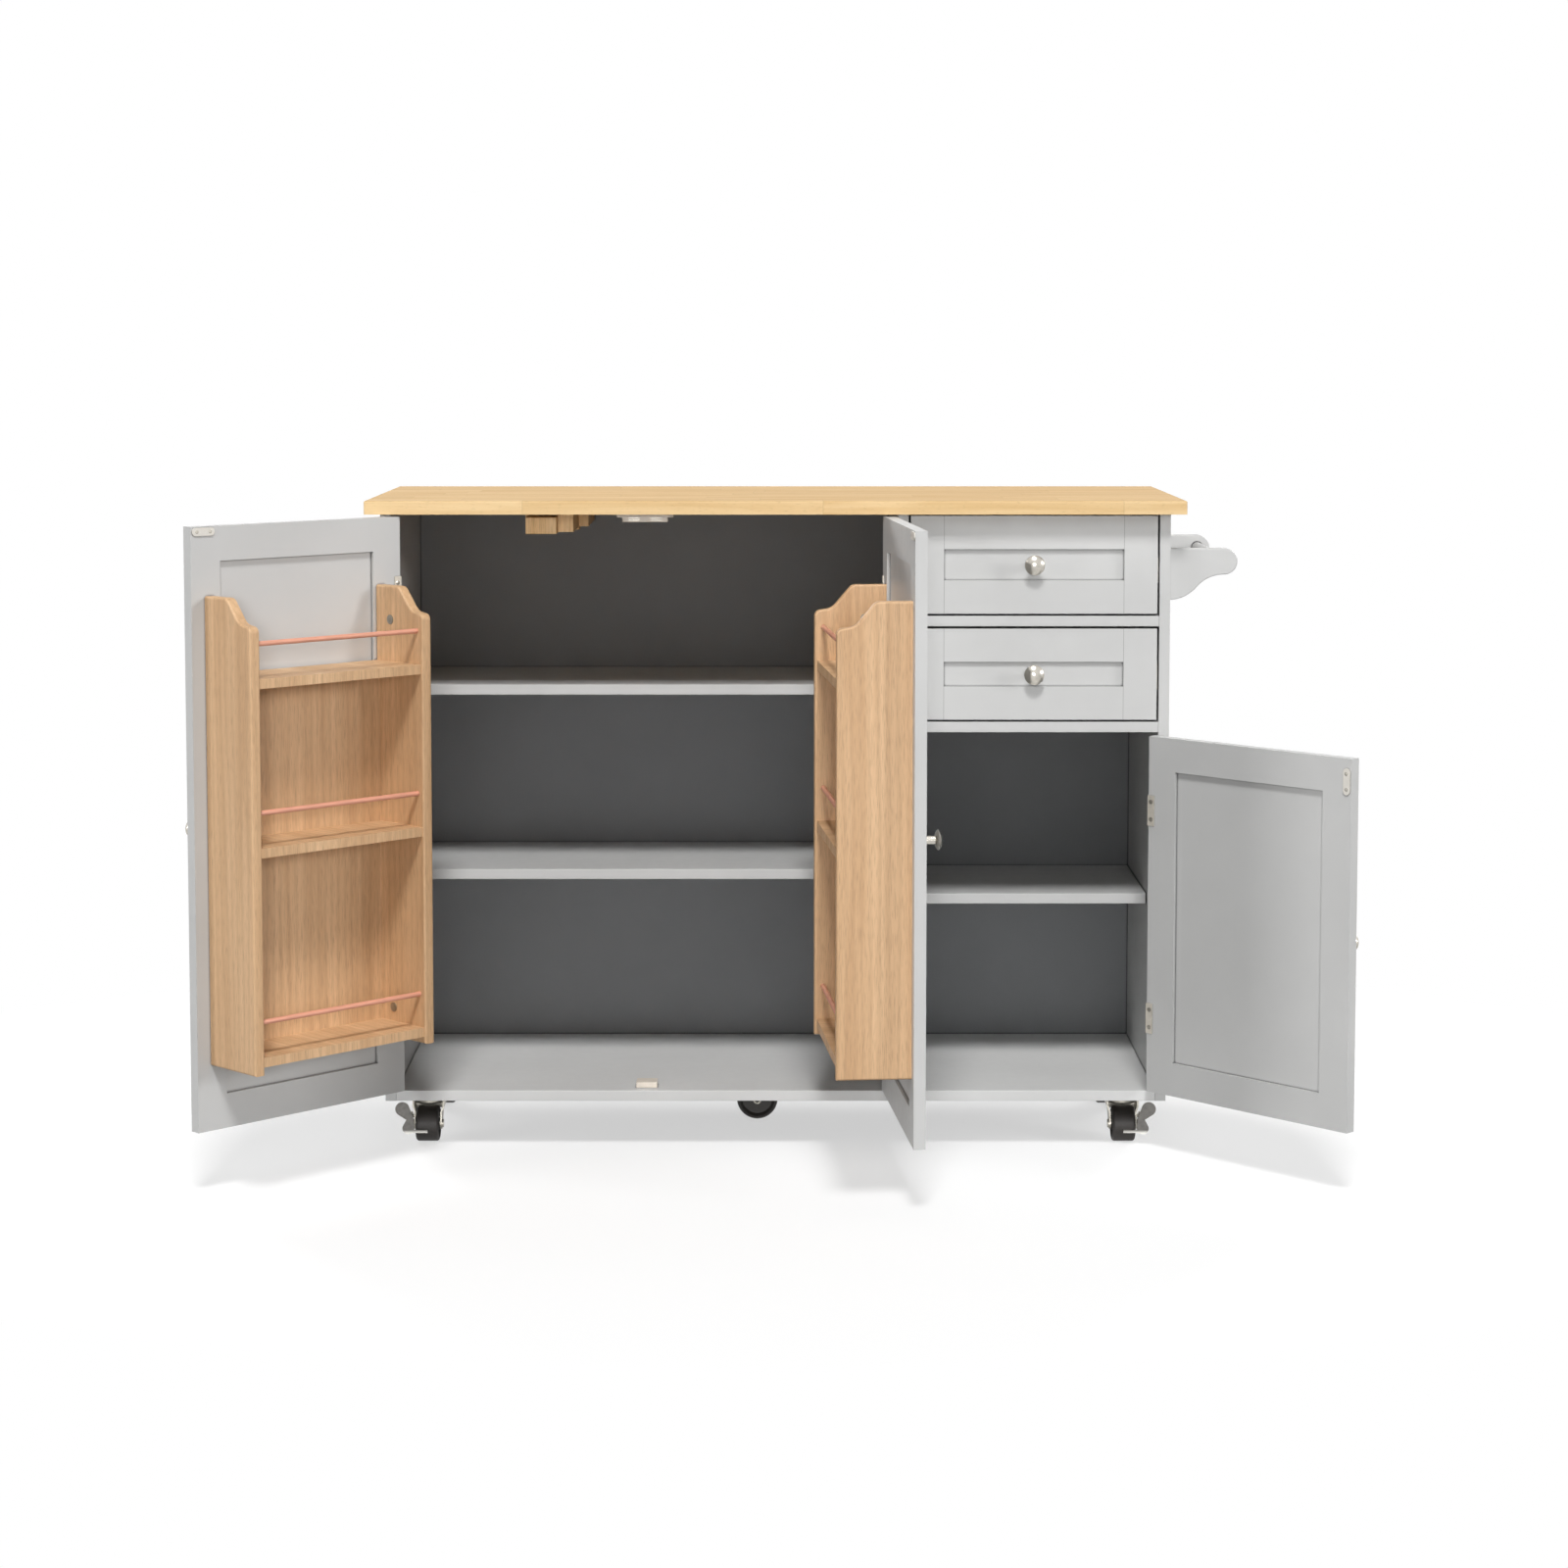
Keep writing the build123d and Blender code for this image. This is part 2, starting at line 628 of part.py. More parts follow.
def rack(door):
    """Sides, shelves, back, rails, cam locks and bolts of the rack on a door, in the shut position."""
    z0, z1 = rack_span(door)
    u0 = door.u0 + RACK_HINGE_INSET
    u1 = door.u1 - RACK_FREE_INSET
    back_w = front_y + DOOR_T
    xs = [min(door.x(u0), door.x(u0 + RACK_SIDE_T)), min(door.x(u1 - RACK_SIDE_T), door.x(u1))]
    sides = [rack_side(x, back_w, z0, z1) for x in xs]
    in_u0 = u0 + RACK_SIDE_T
    in_u1 = u1 - RACK_SIDE_T
    shelf_w1 = DOOR_T + RACK_D - RACK_SHELF_INSET
    levels = rack_levels(door)
    top_level = levels[-1]
    back = door.slab(in_u0, in_u1, DOOR_T, DOOR_T + RACK_BACK_T, levels[0], top_level)
    shelf_boards = []
    rails = []
    sockets = []
    rail_y = back_w + RACK_D - RACK_RAIL_INSET
    for level in levels:
        shelf_w0 = DOOR_T if level == top_level else DOOR_T + RACK_BACK_T
        shelf_boards.append(door.slab(in_u0, in_u1, shelf_w0, shelf_w1, level, level + RACK_SHELF_T))
        rail_z = level + RACK_SHELF_T + RACK_RAIL_ABOVE
        ends = (door.x(in_u0 - RACK_RAIL_TENON), door.x(in_u1 + RACK_RAIL_TENON))
        rails.append(rod_x(*ends, rail_y, rail_z, RACK_RAIL_R))
        sockets.append(rod_x(*ends, rail_y, rail_z, RACK_RAIL_R + FIT_PLAY))
    cams = []
    bolts = []
    bolt_holes = []
    cam_y = back_w + CAM_BACK
    bolt_y0 = back_w - CAM_BOLT_IN_DOOR
    bolt_y1 = cam_y - CAM_R - FIT_PLAY
    for cam_z in (z0 + CAM_BOTTOM_RISE, z1 - CAM_TOP_DROP):
        for face, way in ((in_u0, 1), (in_u1, -1)):
            ends = (door.x(face - way * CAM_DEPTH), door.x(face + way * CAM_PROUD))
            cams.append(rod_x(*ends, cam_y, cam_z, CAM_R))
            sockets.append(rod_x(*ends, cam_y, cam_z, CAM_R + FIT_PLAY))
            bolt_x = door.x(face - way * RACK_SIDE_T / 2)
            bolts.append(rod_y(bolt_x, bolt_y0, bolt_y1, cam_z, CAM_BOLT_R))
            bolt_holes.append(rod_y(bolt_x, bolt_y0, bolt_y1, cam_z, CAM_BOLT_R + FIT_PLAY))
    sides = [side - sockets - bolt_holes for side in sides]
    return sides, shelf_boards + [back], rails, cams + bolts, bolt_holes


def pantry_door(name, door, degrees):
    """Nodes of a main door with its rack, swung open."""
    sides, boards, rails, locks, bolt_holes = rack(door)
    hinges = [door.hinge(z) for z in door.hinge_levels(MAIN_HINGES)]
    strike_u = door.u1 - STRIKE_EDGE
    strike_z = door.z1 - STRIKE_DROP
    strike = stadium(door.x(strike_u), inner_y, strike_z, STRIKE_L, STRIKE_W, STRIKE_T)
    nodes = {
        f"{name}_door_frame": [bar - bolt_holes for bar in door.frame()],
        f"{name}_door_panel": [door.panel()],
        f"{name}_door_knob": [door.stile_knob()],
        f"{name}_door_fittings": [moving for _, moving, _ in hinges] + [strike],
        f"{name}_rack_sides": sides,
        f"{name}_rack_boards": boards,
        f"{name}_rack_rails": rails,
        f"{name}_rack_cam_locks": locks,
    }
    return {node: door.swing(solids, degrees) for node, solids in nodes.items()}, hinges


def plain_door(name, door, degrees):
    """Nodes of the small door, swung open."""
    hinges = [door.hinge(z) for z in door.hinge_levels(SMALL_HINGES)]
    strike_x = door.x(door.u1 - SMALL_STRIKE_EDGE)
    strike_z = door.z1 - SMALL_STRIKE_DROP
    strike = stadium(strike_x, inner_y, strike_z, STRIKE_L, STRIKE_W, STRIKE_T, upright=True)
    nodes = {
        f"{name}_door_frame": door.frame(),
        f"{name}_door_panel": [door.panel()],
        f"{name}_door_knob": [door.stile_knob()],
        f"{name}_door_fittings": [moving for _, moving, _ in hinges] + [strike],
    }
    return {node: door.swing(solids, degrees) for node, solids in nodes.items()}, hinges


def runner_profile(x_web, way, y0, z_mid, height, depth):
    """A thin channel along Y, its web at x_web and its lips pointing along way."""
    z0 = z_mid - height / 2
    z1 = z_mid + height / 2
    y1 = y0 + RUNNER_L
    channel = board(x_web, x_web + way * RUNNER_SHEET, y0, y1, z0, z1)
    channel = channel + board(x_web, x_web + way * depth, y0, y1, z0, z0 + RUNNER_SHEET)
    return channel + board(x_web, x_web + way * depth, y0, y1, z1 - RUNNER_SHEET, z1)


def drawer(name, z0, height):
    """Nodes of one drawer, and the two tracks that carry it."""
    front = Front(divider_x1, 1, small_door_w, z0, z0 + height)
    x0 = divider_x1 + RUNNER_SPACE
    x1 = bay_x - RUNNER_SPACE
    y0 = inner_y
    y1 = inner_y + DRAWER_BOX_D
    box_z0 = z0 + DRAWER_BOX_LIFT
    box_z1 = box_z0 + DRAWER_BOX_H
    in_x0 = x0 + DRAWER_WALL_T
    in_x1 = x1 - DRAWER_WALL_T
    floor_z0 = box_z0 + DRAWER_FLOOR_LIFT
    box = [
        board(x0, in_x0, y0, y1, box_z0, box_z1),
        board(in_x1, x1, y0, y1, box_z0, box_z1),
        board(in_x0, in_x1, y1 - DRAWER_WALL_T, y1, box_z0, box_z1),
        board(in_x0, in_x1, y0, y0 + DRAWER_WALL_T, box_z0, box_z1),
        board(in_x0, in_x1, y0 + DRAWER_WALL_T, y1 - DRAWER_WALL_T, floor_z0, floor_z0 + DRAWER_FLOOR_T),
    ]
    mid_z = (box_z0 + box_z1) / 2
    run_y = front_y + RUNNER_SETBACK
    slide_h = RUNNER_H - 2 * RUNNER_SHEET - 2 * RUNNER_PLAY
    track_depth = RUNNER_SPACE - RUNNER_SHEET - RUNNER_PLAY
    slide_depth = RUNNER_SPACE - RUNNER_SHEET - RUNNER_PLAY
    tracks = [
        runner_profile(divider_x1, 1, run_y, mid_z, RUNNER_H, track_depth),
        runner_profile(bay_x, -1, run_y, mid_z, RUNNER_H, track_depth),
    ]
    slides = [
        runner_profile(x0, -1, run_y, mid_z, slide_h, slide_depth),
        runner_profile(x1, 1, run_y, mid_z, slide_h, slide_depth),
    ]
    knob_y = front_y + (DOOR_T - PANEL_T) / 2
    nodes = {
        f"{name}_drawer_front": front.frame() + [front.panel()],
        f"{name}_drawer_box": box,
        f"{name}_drawer_knob": [knob((divider_x1 + bay_x) / 2, knob_y, z0 + height / 2)],
        f"{name}_drawer_slides": slides,
    }
    return nodes, tracks


race_z = CASTER_H - PLATE_T
cup_z1 = race_z - RACE_GAP
fork_in = WHEEL_W / 2 + FORK_PLAY
fork_out = fork_in + FORK_SHEET
bend_z = PEDAL_PIVOT_Z + PEDAL_LUG_R


def cup_z0(wheel_r):
    """Level of the underside of the swivel cup, just above the wheel."""
    return 2 * wheel_r + CUP_PLAY


def caster_plate(wheel_r):
    """The screwed plate with its king pin, about the swivel axis."""
    plate = Pos(0, 0, race_z) * Box(PLATE_W, PLATE_W, PLATE_T, align=ON_END)
    half = PLATE_HOLE_PITCH / 2
    for x in (-half, half):
        for y in (-half, half):
            plate = plate - rod_z(x, y, race_z, CASTER_H, PLATE_HOLE_R)
    head_z1 = cup_z0(wheel_r) - RACE_GAP
    head = rod_z(0, 0, head_z1 - KINGPIN_HEAD_H, head_z1, KINGPIN_HEAD_R)
    return plate + rod_z(0, 0, head_z1, race_z, KINGPIN_R) + head


def fork_cheek(wheel_r):
    """The cheek at +X, bent in from the cup to the wheel and tapered from the cup to the axle's eye."""
    bend_z1 = bend_z + FORK_BEND_H
    cup_in = CUP_R - FORK_SHEET
    bent = Polyline(
        (fork_in, 0),
        (fork_out, 0),
        (fork_out, bend_z),
        (CUP_R, bend_z1),
        (CUP_R, cup_z1),
        (cup_in, cup_z1),
        (cup_in, bend_z1),
        (fork_in, bend_z),
        close=True,
    )
    depth = FORK_TOP_BACK + CASTER_TRAIL + FORK_EYE_R
    sheet = Pos(0, FORK_TOP_BACK, 0) * extrude(Plane.XZ * make_face(bent), amount=depth)
    top_z = (cup_z0(wheel_r) + cup_z1) / 2
    taper = Sketch() + Pos(-CASTER_TRAIL, wheel_r) * Circle(FORK_EYE_R)
    taper += Pos(FORK_TOP_BACK - FORK_TOP_L / 2, top_z) * Rectangle(FORK_TOP_L, 2 * (cup_z1 - top_z))
    return sheet & extrude(Plane.YZ * make_hull(taper.edges()), amount=CUP_R)


def caster_fork(wheel_r):
    """The pressed fork: round swivel cup, two cheeks and a gusset behind the wheel, with its axle bolt."""
    cup = rod_z(0, 0, cup_z0(wheel_r), cup_z1, CUP_R)
    cup = fillet(cup.faces().sort_by(Axis.Z)[0].edges(), FORK_SHEET)
    cheek = fork_cheek(wheel_r)
    gusset_y = wheel_r - CASTER_TRAIL + CUP_PLAY
    gusset_z1 = cup_z0(wheel_r) + FORK_SHEET
    gusset = board(-fork_out, fork_out, gusset_y, gusset_y + FORK_SHEET, bend_z, gusset_z1)
    gusset = gusset - rod_z(0, 0, bend_z, cup_z0(wheel_r), KINGPIN_HEAD_R + FORK_PLAY)
    fork = cup + cheek + mirror(cheek, about=Plane.YZ) + gusset
    fork = fork - rod_z(0, 0, cup_z0(wheel_r), cup_z1, KINGPIN_R + RUNNING_PLAY)
    axle = rod_x(-fork_out, fork_out, -CASTER_TRAIL, wheel_r, AXLE_R)
    fork = fork - axle
    for way in (-1, 1):
        head_x = way * (fork_out + AXLE_HEAD_T)
        axle = axle + rod_x(way * fork_out, head_x, -CASTER_TRAIL, wheel_r, AXLE_HEAD_R)
    return [fork, axle]


def caster_wheel(wheel_r):
    """A solid wheel with round shoulders, dished sides and a hub that runs on the axle."""
    half = WHEEL_W / 2
    rim_r = wheel_r - WHEEL_SHOULDER
    bore_r = AXLE_R + RUNNING_PLAY
    hub_x = fork_in - HUB_PLAY
    right = [
        Line((bore_r, 0), (bore_r, hub_x)),
        Line((bore_r, hub_x), (HUB_R, hub_x)),
        Line((HUB_R, hub_x), (HUB_R, half - WHEEL_DISH)),
        Line((HUB_R, half - WHEEL_DISH), (rim_r - WHEEL_DISH, half - WHEEL_DISH)),
        Line((rim_r - WHEEL_DISH, half - WHEEL_DISH), (rim_r, half)),
        TangentArc((rim_r, half), (wheel_r, half - WHEEL_SHOULDER), tangent=(1, 0)),
        Line((wheel_r, half - WHEEL_SHOULDER), (wheel_r, 0)),
        Line((wheel_r, 0), (bore_r, 0)),
    ]
    side = revolve(Plane.XZ * make_face(right), axis=Axis.Z)
    wheel = side + mirror(side, about=Plane.XY)
    return Pos(0, -CASTER_TRAIL, wheel_r) * Rot(0, 90, 0) * wheel


def brake_pedal():
    """A stamped pedal on the cheek at -X: foot pad above, release lobe below and a shoe before the tread."""
    cheek_x = -fork_out - AXLE_HEAD_T - PEDAL_SIDE_GAP
    tread_y = -CASTER_TRAIL - WHEEL_R - PEDAL_TREAD_GAP
    lug_x0 = cheek_x - PEDAL_T
    pad_x = lug_x0 - PEDAL_PAD_OUT
    foot_x = lug_x0 - PEDAL_FOOT_OUT
    waist_x = cheek_x - PEDAL_WAIST_W / 2 + PEDAL_WAIST_LAP
    waist = Pos(waist_x, PEDAL_WAIST_Z) * Circle(PEDAL_WAIST_W / 2)
    pad = Pos(pad_x, PEDAL_PAD_Z) * Circle(PEDAL_PAD_R)
    foot = Pos(foot_x, PEDAL_FOOT_Z) * Circle(PEDAL_FOOT_R)
    stamp = make_hull((waist + pad).edges()) + make_hull((waist + foot).edges())
    plate = Pos(0, tread_y, 0) * extrude(Plane.XZ * stamp, amount=PEDAL_T)
    shoe_z0 = PEDAL_SHOE_Z - PEDAL_SHOE_H / 2
    shoe = board(foot_x, PEDAL_SHOE_REACH, tread_y - PEDAL_T, tread_y, shoe_z0, shoe_z0 + PEDAL_SHOE_H)
    lug_l = -CASTER_TRAIL - tread_y
    lug = Sketch() + Pos(-CASTER_TRAIL, PEDAL_PIVOT_Z) * Circle(PEDAL_LUG_R)
    lug += Pos(-CASTER_TRAIL - lug_l / 2, PEDAL_PIVOT_Z) * Rectangle(lug_l, PEDAL_WAIST_W)
    lug = Pos(lug_x0, 0, 0) * extrude(Plane.YZ * lug, amount=PEDAL_T)
    hole = rod_x(lug_x0, cheek_x, -CASTER_TRAIL, PEDAL_PIVOT_Z, PEDAL_PIVOT_R + RUNNING_PLAY)
    return plate + shoe + lug - hole


def pedal_rivet():
    """The rivet on the cheek that the pedal turns on."""
    rivet_x = -fork_out - AXLE_HEAD_T - PEDAL_SIDE_GAP - PEDAL_T
    return rod_x(rivet_x, -fork_out, -CASTER_TRAIL, PEDAL_PIVOT_Z, PEDAL_PIVOT_R)


caster_x = side_x - CASTER_SIDE_INSET
front_caster_y = front_y + CASTER_INSET
rear_caster_y = back_y - CASTER_INSET
middle_y = (front_y + back_y) / 2

# Casters by name: place of the swivel axis, heading of the trail from the front, side of the brake pedal
# and radius of the wheel
CASTERS = {
    "front_left": (-caster_x, front_caster_y, 0, -1, WHEEL_R),
    "front_right": (caster_x, front_caster_y, 0, 1, WHEEL_R),
    "rear_left": (-caster_x, rear_caster_y, 0, 0, WHEEL_R),
    "rear_right": (caster_x, rear_caster_y, 0, 0, WHEEL_R),
    "centre": (0.0, middle_y, -90, 0, CENTRE_WHEEL_R),
}


def casters():
    """Nodes of all casters and the list of their plates."""
    nodes = {}
    plates = []
    for name, (x, y, heading, brake, wheel_r) in CASTERS.items():
        place = Pos(x, y, 0) * Rot(0, 0, heading)
        plates.append(Pos(x, y, 0) * caster_plate(wheel_r))
        fork = caster_fork(wheel_r)
        if brake:
            fork.append(pedal_rivet())
            pedal = brake_pedal()
            if brake > 0:
                fork[-1] = mirror(fork[-1], about=Plane.YZ)
                pedal = mirror(pedal, about=Plane.YZ)
            nodes[f"{name}_brake_pedal"] = [place * pedal]
        nodes[f"{name}_caster_fork"] = [place * piece for piece in fork]
        nodes[f"{name}_caster_wheel"] = [place * caster_wheel(wheel_r)]
    return nodes, plates


def build():
    """All nodes by name, each a list of separate solids."""
    nodes = {"worktop": [worktop()]}
    boards = carcass()
    names = ("left_side_panel", "right_side_panel", "divider_panel", "bottom_panel", "back_panel")
    nodes.update({name: [solid] for name, solid in zip(names, boards)})
    nodes["shelves"] = shelves()
    nodes["shelf_pins"] = shelf_pins()
    nodes["drawer_rails"] = drawer_rails()
    nodes["door_catches"] = catches()
    nodes["towel_rack"] = towel_rack()
    bar, guides = leaf_support()
    nodes["leaf_support_bar"] = [bar]
    nodes["leaf_support_guides"] = guides
    nodes["drop_leaf"] = [drop_leaf()]
    fixed_plates, moving_plates, leaf_pins = leaf_hinges()
    nodes["leaf_hinge_fixed_plates"] = fixed_plates + leaf_pins
    nodes["leaf_hinge_moving_plates"] = moving_plates
    left_nodes, left_hinges = pantry_door("left", left_door, LEFT_OPEN_DEG)
    right_nodes, right_hinges = pantry_door("right", right_door, RIGHT_OPEN_DEG)
    small_nodes, small_hinges = plain_door("small", small_door, SMALL_OPEN_DEG)
    door_hinges = left_hinges + right_hinges + small_hinges
    nodes["frame_hinge_leaves"] = [fixed for fixed, _, _ in door_hinges]
    nodes["door_hinge_pins"] = [pin for _, _, pin in door_hinges]
    upper_nodes, upper_tracks = drawer("upper", upper_drawer_z, UPPER_DRAWER_H)
    lower_nodes, lower_tracks = drawer("lower", lower_drawer_z, LOWER_DRAWER_H)
    nodes["drawer_tracks"] = upper_tracks + lower_tracks
    caster_nodes, plates = casters()
    nodes["caster_plates"] = plates
    for group in (left_nodes, right_nodes, small_nodes, upper_nodes, lower_nodes, caster_nodes):
        nodes.update(group)
    return nodes


def main():
    os.makedirs("parts", exist_ok=True)
    for name, solids in build().items():
        whole = Compound(children=[solid for shape in solids for solid in shape.solids()])
        export_step(whole, f"parts/{name}.step")


if __name__ == "__main__":
    main()
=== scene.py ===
import json
import math

import bmesh
import bpy
from mathutils import Matrix, Vector


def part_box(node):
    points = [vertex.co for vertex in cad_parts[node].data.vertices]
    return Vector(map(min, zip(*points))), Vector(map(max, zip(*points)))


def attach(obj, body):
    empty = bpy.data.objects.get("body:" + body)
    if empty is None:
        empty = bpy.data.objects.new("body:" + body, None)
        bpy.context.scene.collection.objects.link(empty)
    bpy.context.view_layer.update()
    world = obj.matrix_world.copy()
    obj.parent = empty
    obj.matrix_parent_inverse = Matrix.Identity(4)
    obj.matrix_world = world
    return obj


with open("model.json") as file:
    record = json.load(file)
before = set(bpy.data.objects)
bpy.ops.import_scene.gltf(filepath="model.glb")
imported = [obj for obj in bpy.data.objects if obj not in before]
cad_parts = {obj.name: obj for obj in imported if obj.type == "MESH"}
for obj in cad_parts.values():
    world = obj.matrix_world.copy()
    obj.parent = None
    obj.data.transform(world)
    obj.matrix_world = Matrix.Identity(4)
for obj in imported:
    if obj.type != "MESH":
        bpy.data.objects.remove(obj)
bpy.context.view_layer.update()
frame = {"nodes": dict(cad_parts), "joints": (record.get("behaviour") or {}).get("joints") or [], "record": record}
NODES = frame["nodes"]
JOINTS = {joint["name"]: joint for joint in frame["joints"]}
SLOTS = {row["node"]: row["material_slot"] for row in frame["record"]["subparts"]}
TALL_DOORS = ("left", "right")
DOORS = TALL_DOORS + ("small",)

MM = 0.001
WELD = 0.001 * MM

# The photograph's camera, solved from the cabinet's edges
CAMERA_PLACE = (0.0, -4.810, 1.163)
CAMERA_PITCH = math.radians(4.545)
CAMERA_LENS = 75.6
CAMERA_SENSOR = 36.0
CAMERA_SHIFT = (0.0054, -0.1222)

# Colours as they look in plain light, 0 to 255, except where painted light or shade is noted
GREY_PAINT = (193, 193, 192)
# Painted light: the bottom panel's paint is lighter than the grey, standing in for the brighter light on it
BOTTOM_LIT_PAINT = (213, 213, 212)
# The back panel's grey is darker than the rest: partly its own tone, partly painted shade for the dark inside
BACK_SHADED_PAINT = (163, 165, 168)
WORKTOP_LIGHT = (235, 207, 161)
WORKTOP_DARK = (215, 181, 130)
# Painted shade: a tone multiplied over the broad faces of the staves, against the stronger light from above
WORKTOP_FACE_SHADE = (232, 226, 217)
OAK_LIGHT = (219, 182, 141)
OAK_DARK = (191, 152, 112)
ROD_PINK = (224, 158, 132)
SOFTWOOD_LIGHT = (250, 218, 166)
SOFTWOOD_DARK = (226, 176, 112)
DRAWER_PALE = (222, 216, 205)
ZINC = (176, 172, 162)
# Painted shade for the pedals' broad front, and painted highlight for their edges and shoe
PEDAL_SHADED = (108, 106, 103)
PEDAL_HIGHLIGHT = (222, 220, 214)
NICKEL = (205, 200, 190)
CREAM = (232, 222, 208)
STRIKE_PLATE = (214, 210, 202)
HINGE_PLATE = (226, 219, 206)
BLACK = (40, 36, 33)
FLOOR_WHITE = (252, 252, 252)
FLOOR_BOUNCE = (120, 120, 120)

# The span that most values of a noise lie in
NOISE_SPAN = (0.3, 0.7)

# Paint: tones of its clouding, and the painted shade that darkens inner corners over a short reach
PAINT_TONES = (0.975, 1.015)
CORNER_SHADE_REACH = 4.0 * MM
CORNER_SHADE_SAMPLES = 8
CORNER_SHADE_SPAN = (0.45, 0.90)
CORNER_SHADE_TONE = 0.55

# Hairlines between the bars of a drawer front: stile width, half width of a line and its tone
FRONT_STILE = 47.0 * MM
JOINT_LINE = 0.5 * MM
JOINT_TONE = 0.62

# Worktop staves: width, length and glue seam, the most lengths by which a row is shifted, and how far apart
# the grain of two staves is taken
STAVE_WIDTH = 46.0 * MM
STAVE_LENGTH = 420.0 * MM
STAVE_SEAM = 0.6 * MM
STAVE_SHIFT = 7.0
STAVE_LANE = 9.0

# Metal: how far its fine lines are drawn out, and the share of metal in the pale hinge plates
LINE_STRETCH = (1, 1, 0.08)
HINGE_METAL = 0.45

# Level of the top of the brake pedals' shoes, and the height over which their painted highlight fades in
SHOE_TOP = 21.5 * MM
SHOE_FADE = 5.0 * MM

# Softened edges, by node, in metres. Framed doors and drawers, drilled boards, and turned and bent pieces
# keep the edges of the construction.
EDGE_WIDTHS = {
    "bottom_panel": 0.8 * MM,
    "back_panel": 0.8 * MM,
    "shelves": 0.8 * MM,
    "drawer_rails": 0.8 * MM,
    "towel_rack": 1.5 * MM,
    "door_catches": 0.8 * MM,
    "leaf_support_bar": 1.0 * MM,
}
EDGE_SEGMENTS = 2
FACE_WEIGHT = 100
FLAT_ANGLE = math.radians(0.3)
SMOOTH_ANGLE = math.radians(35)

# Screw heads: outer radii, rise over the face, share of the rise lost at the rim, the rings of a head as a
# share of its radius with the depth of the cross in each ring, how far the head goes in below its rim, half
# the width of the cross's arms as a share of the radius, and the share of a quarter that an arm's wall takes
HINGE_SCREW_R = 3.2 * MM
SMALL_SCREW_R = 2.6 * MM
CASTER_SCREW_R = 4.0 * MM
SCREW_PROUD = 0.6 * MM
FLAT_PROUD = 0.3 * MM
THIN_PROUD = 0.2 * MM
SCREW_DOME = 0.6
SCREW_RINGS = ((0.18, 0.9 * MM), (0.55, 0.7 * MM), (0.62, 0.0), (0.85, 0.0), (1.0, 0.0))
SCREW_SINK = 0.9 * MM
SCREW_ARM = 0.12
SCREW_SLOPE = 0.06

# Where screws sit on the hinge leaves, strikes and plates
HINGE_SCREW_SHARE = 0.58
WRAP_SCREW_INSET = 5.0 * MM
LEAF_SCREW_INSET = 9.0 * MM
LEAF_SHEET = 1.2 * MM
STRIKE_SCREW_SHARE = 0.85
CAM_RIM = 0.8 * MM
LEAF_PLATE = 2.0 * MM
LEAF_SCREW_SHARES = ((0.17, 0.25), (0.83, 0.25), (0.5, 0.5))
PLATE_PITCH = 44.0 * MM
PLATE_SHEET = 2.5 * MM

# Steel faces of the magnets: strip width, corner and thickness, length and place on the double catch as shares
# of its width and height, and length on the single one
MAGNET_STRIP = 1.0 * MM
MAGNET_CORNER = MAGNET_STRIP / 3
MAGNET_T = 0.2 * MM
MAGNET_SHARE = 0.2
DOUBLE_LEVELS = (0.21, 0.45)
SINGLE_SHARE = 0.7

# Thin plates: steps round a corner, and the share of the thickness that the rim's bevel takes
PLATE_STEPS = 4
PLATE_RIM = 0.4

# Bright rim on the heads of the centre caster's axle
RING_INNER = 3.4 * MM
RING_OUTER = 6.0 * MM
RING_PROUD = 0.8 * MM
RING_STEPS = 6
RING_SIDES = 40

# Tabs that close the forks' backs: reach behind the swivel axis, levels, width and sheet
OUTER_CASTERS = ("front_left", "front_right", "rear_left", "rear_right")
TAB_BACK = 8.0 * MM
TAB_LOW = 42.0 * MM
TAB_HIGH = 51.5 * MM
TAB_WIDTH = 19.0 * MM
TAB_SHEET = 1.2 * MM
TAB_CORNER = 2.0 * MM

# Studio: a floor that fades to plain white over an oval, and lamps as name, degrees round from the front,
# degrees up and watts. Lamps on the front side leave out the back panel.
FLOOR_HALF = 30.0
FLOOR_OVAL = (0.7, 1.0, 1.0)
FLOOR_FADE = (0.70, 1.20)
FLOOR_GLOW = 0.55
AMBIENT = 0.012
LIGHT_TARGET = (0.0, -0.2, 0.45)
LIGHT_FAR = 14.0
LIGHT_SIZE = 2.8
FRONT_SIDE = 90
LIGHTS = (
    ("key", 0, 56, 1540),
    ("front", 0, 7, 630),
    ("left", -68, 15, 500),
    ("right", 68, 15, 620),
    ("top", 180, 85, 60),
    ("rear_left", -145, 20, 850),
    ("rear_right", 145, 20, 850),
)


def linear(rgb):
    """A 0 to 255 display colour as linear light, with alpha."""
    parts = [c / 255 for c in rgb]
    return tuple(c / 12.92 if c <= 0.04045 else ((c + 0.055) / 1.055) ** 2.4 for c in parts) + (1.0,)


def toned(rgb, factor):
    """A display colour made lighter or darker."""
    return tuple(min(255.0, c * factor) for c in rgb)


def shut_matrix(joint):
    """The turn that shuts a door from its open rest pose."""
    hinge = JOINTS[joint]
    pivot = Matrix.Translation(hinge["pos_m"])
    turn = Matrix.Rotation(math.radians(hinge["range_deg"][0]), 4, Vector(hinge["axis"]))
    return pivot @ turn @ pivot.inverted()


def door_turn(joint):
    """The angle about +Z through which a door has been opened at rest, in radians."""
    hinge = JOINTS[joint]
    return -math.radians(hinge["range_deg"][0]) * hinge["axis"][2]


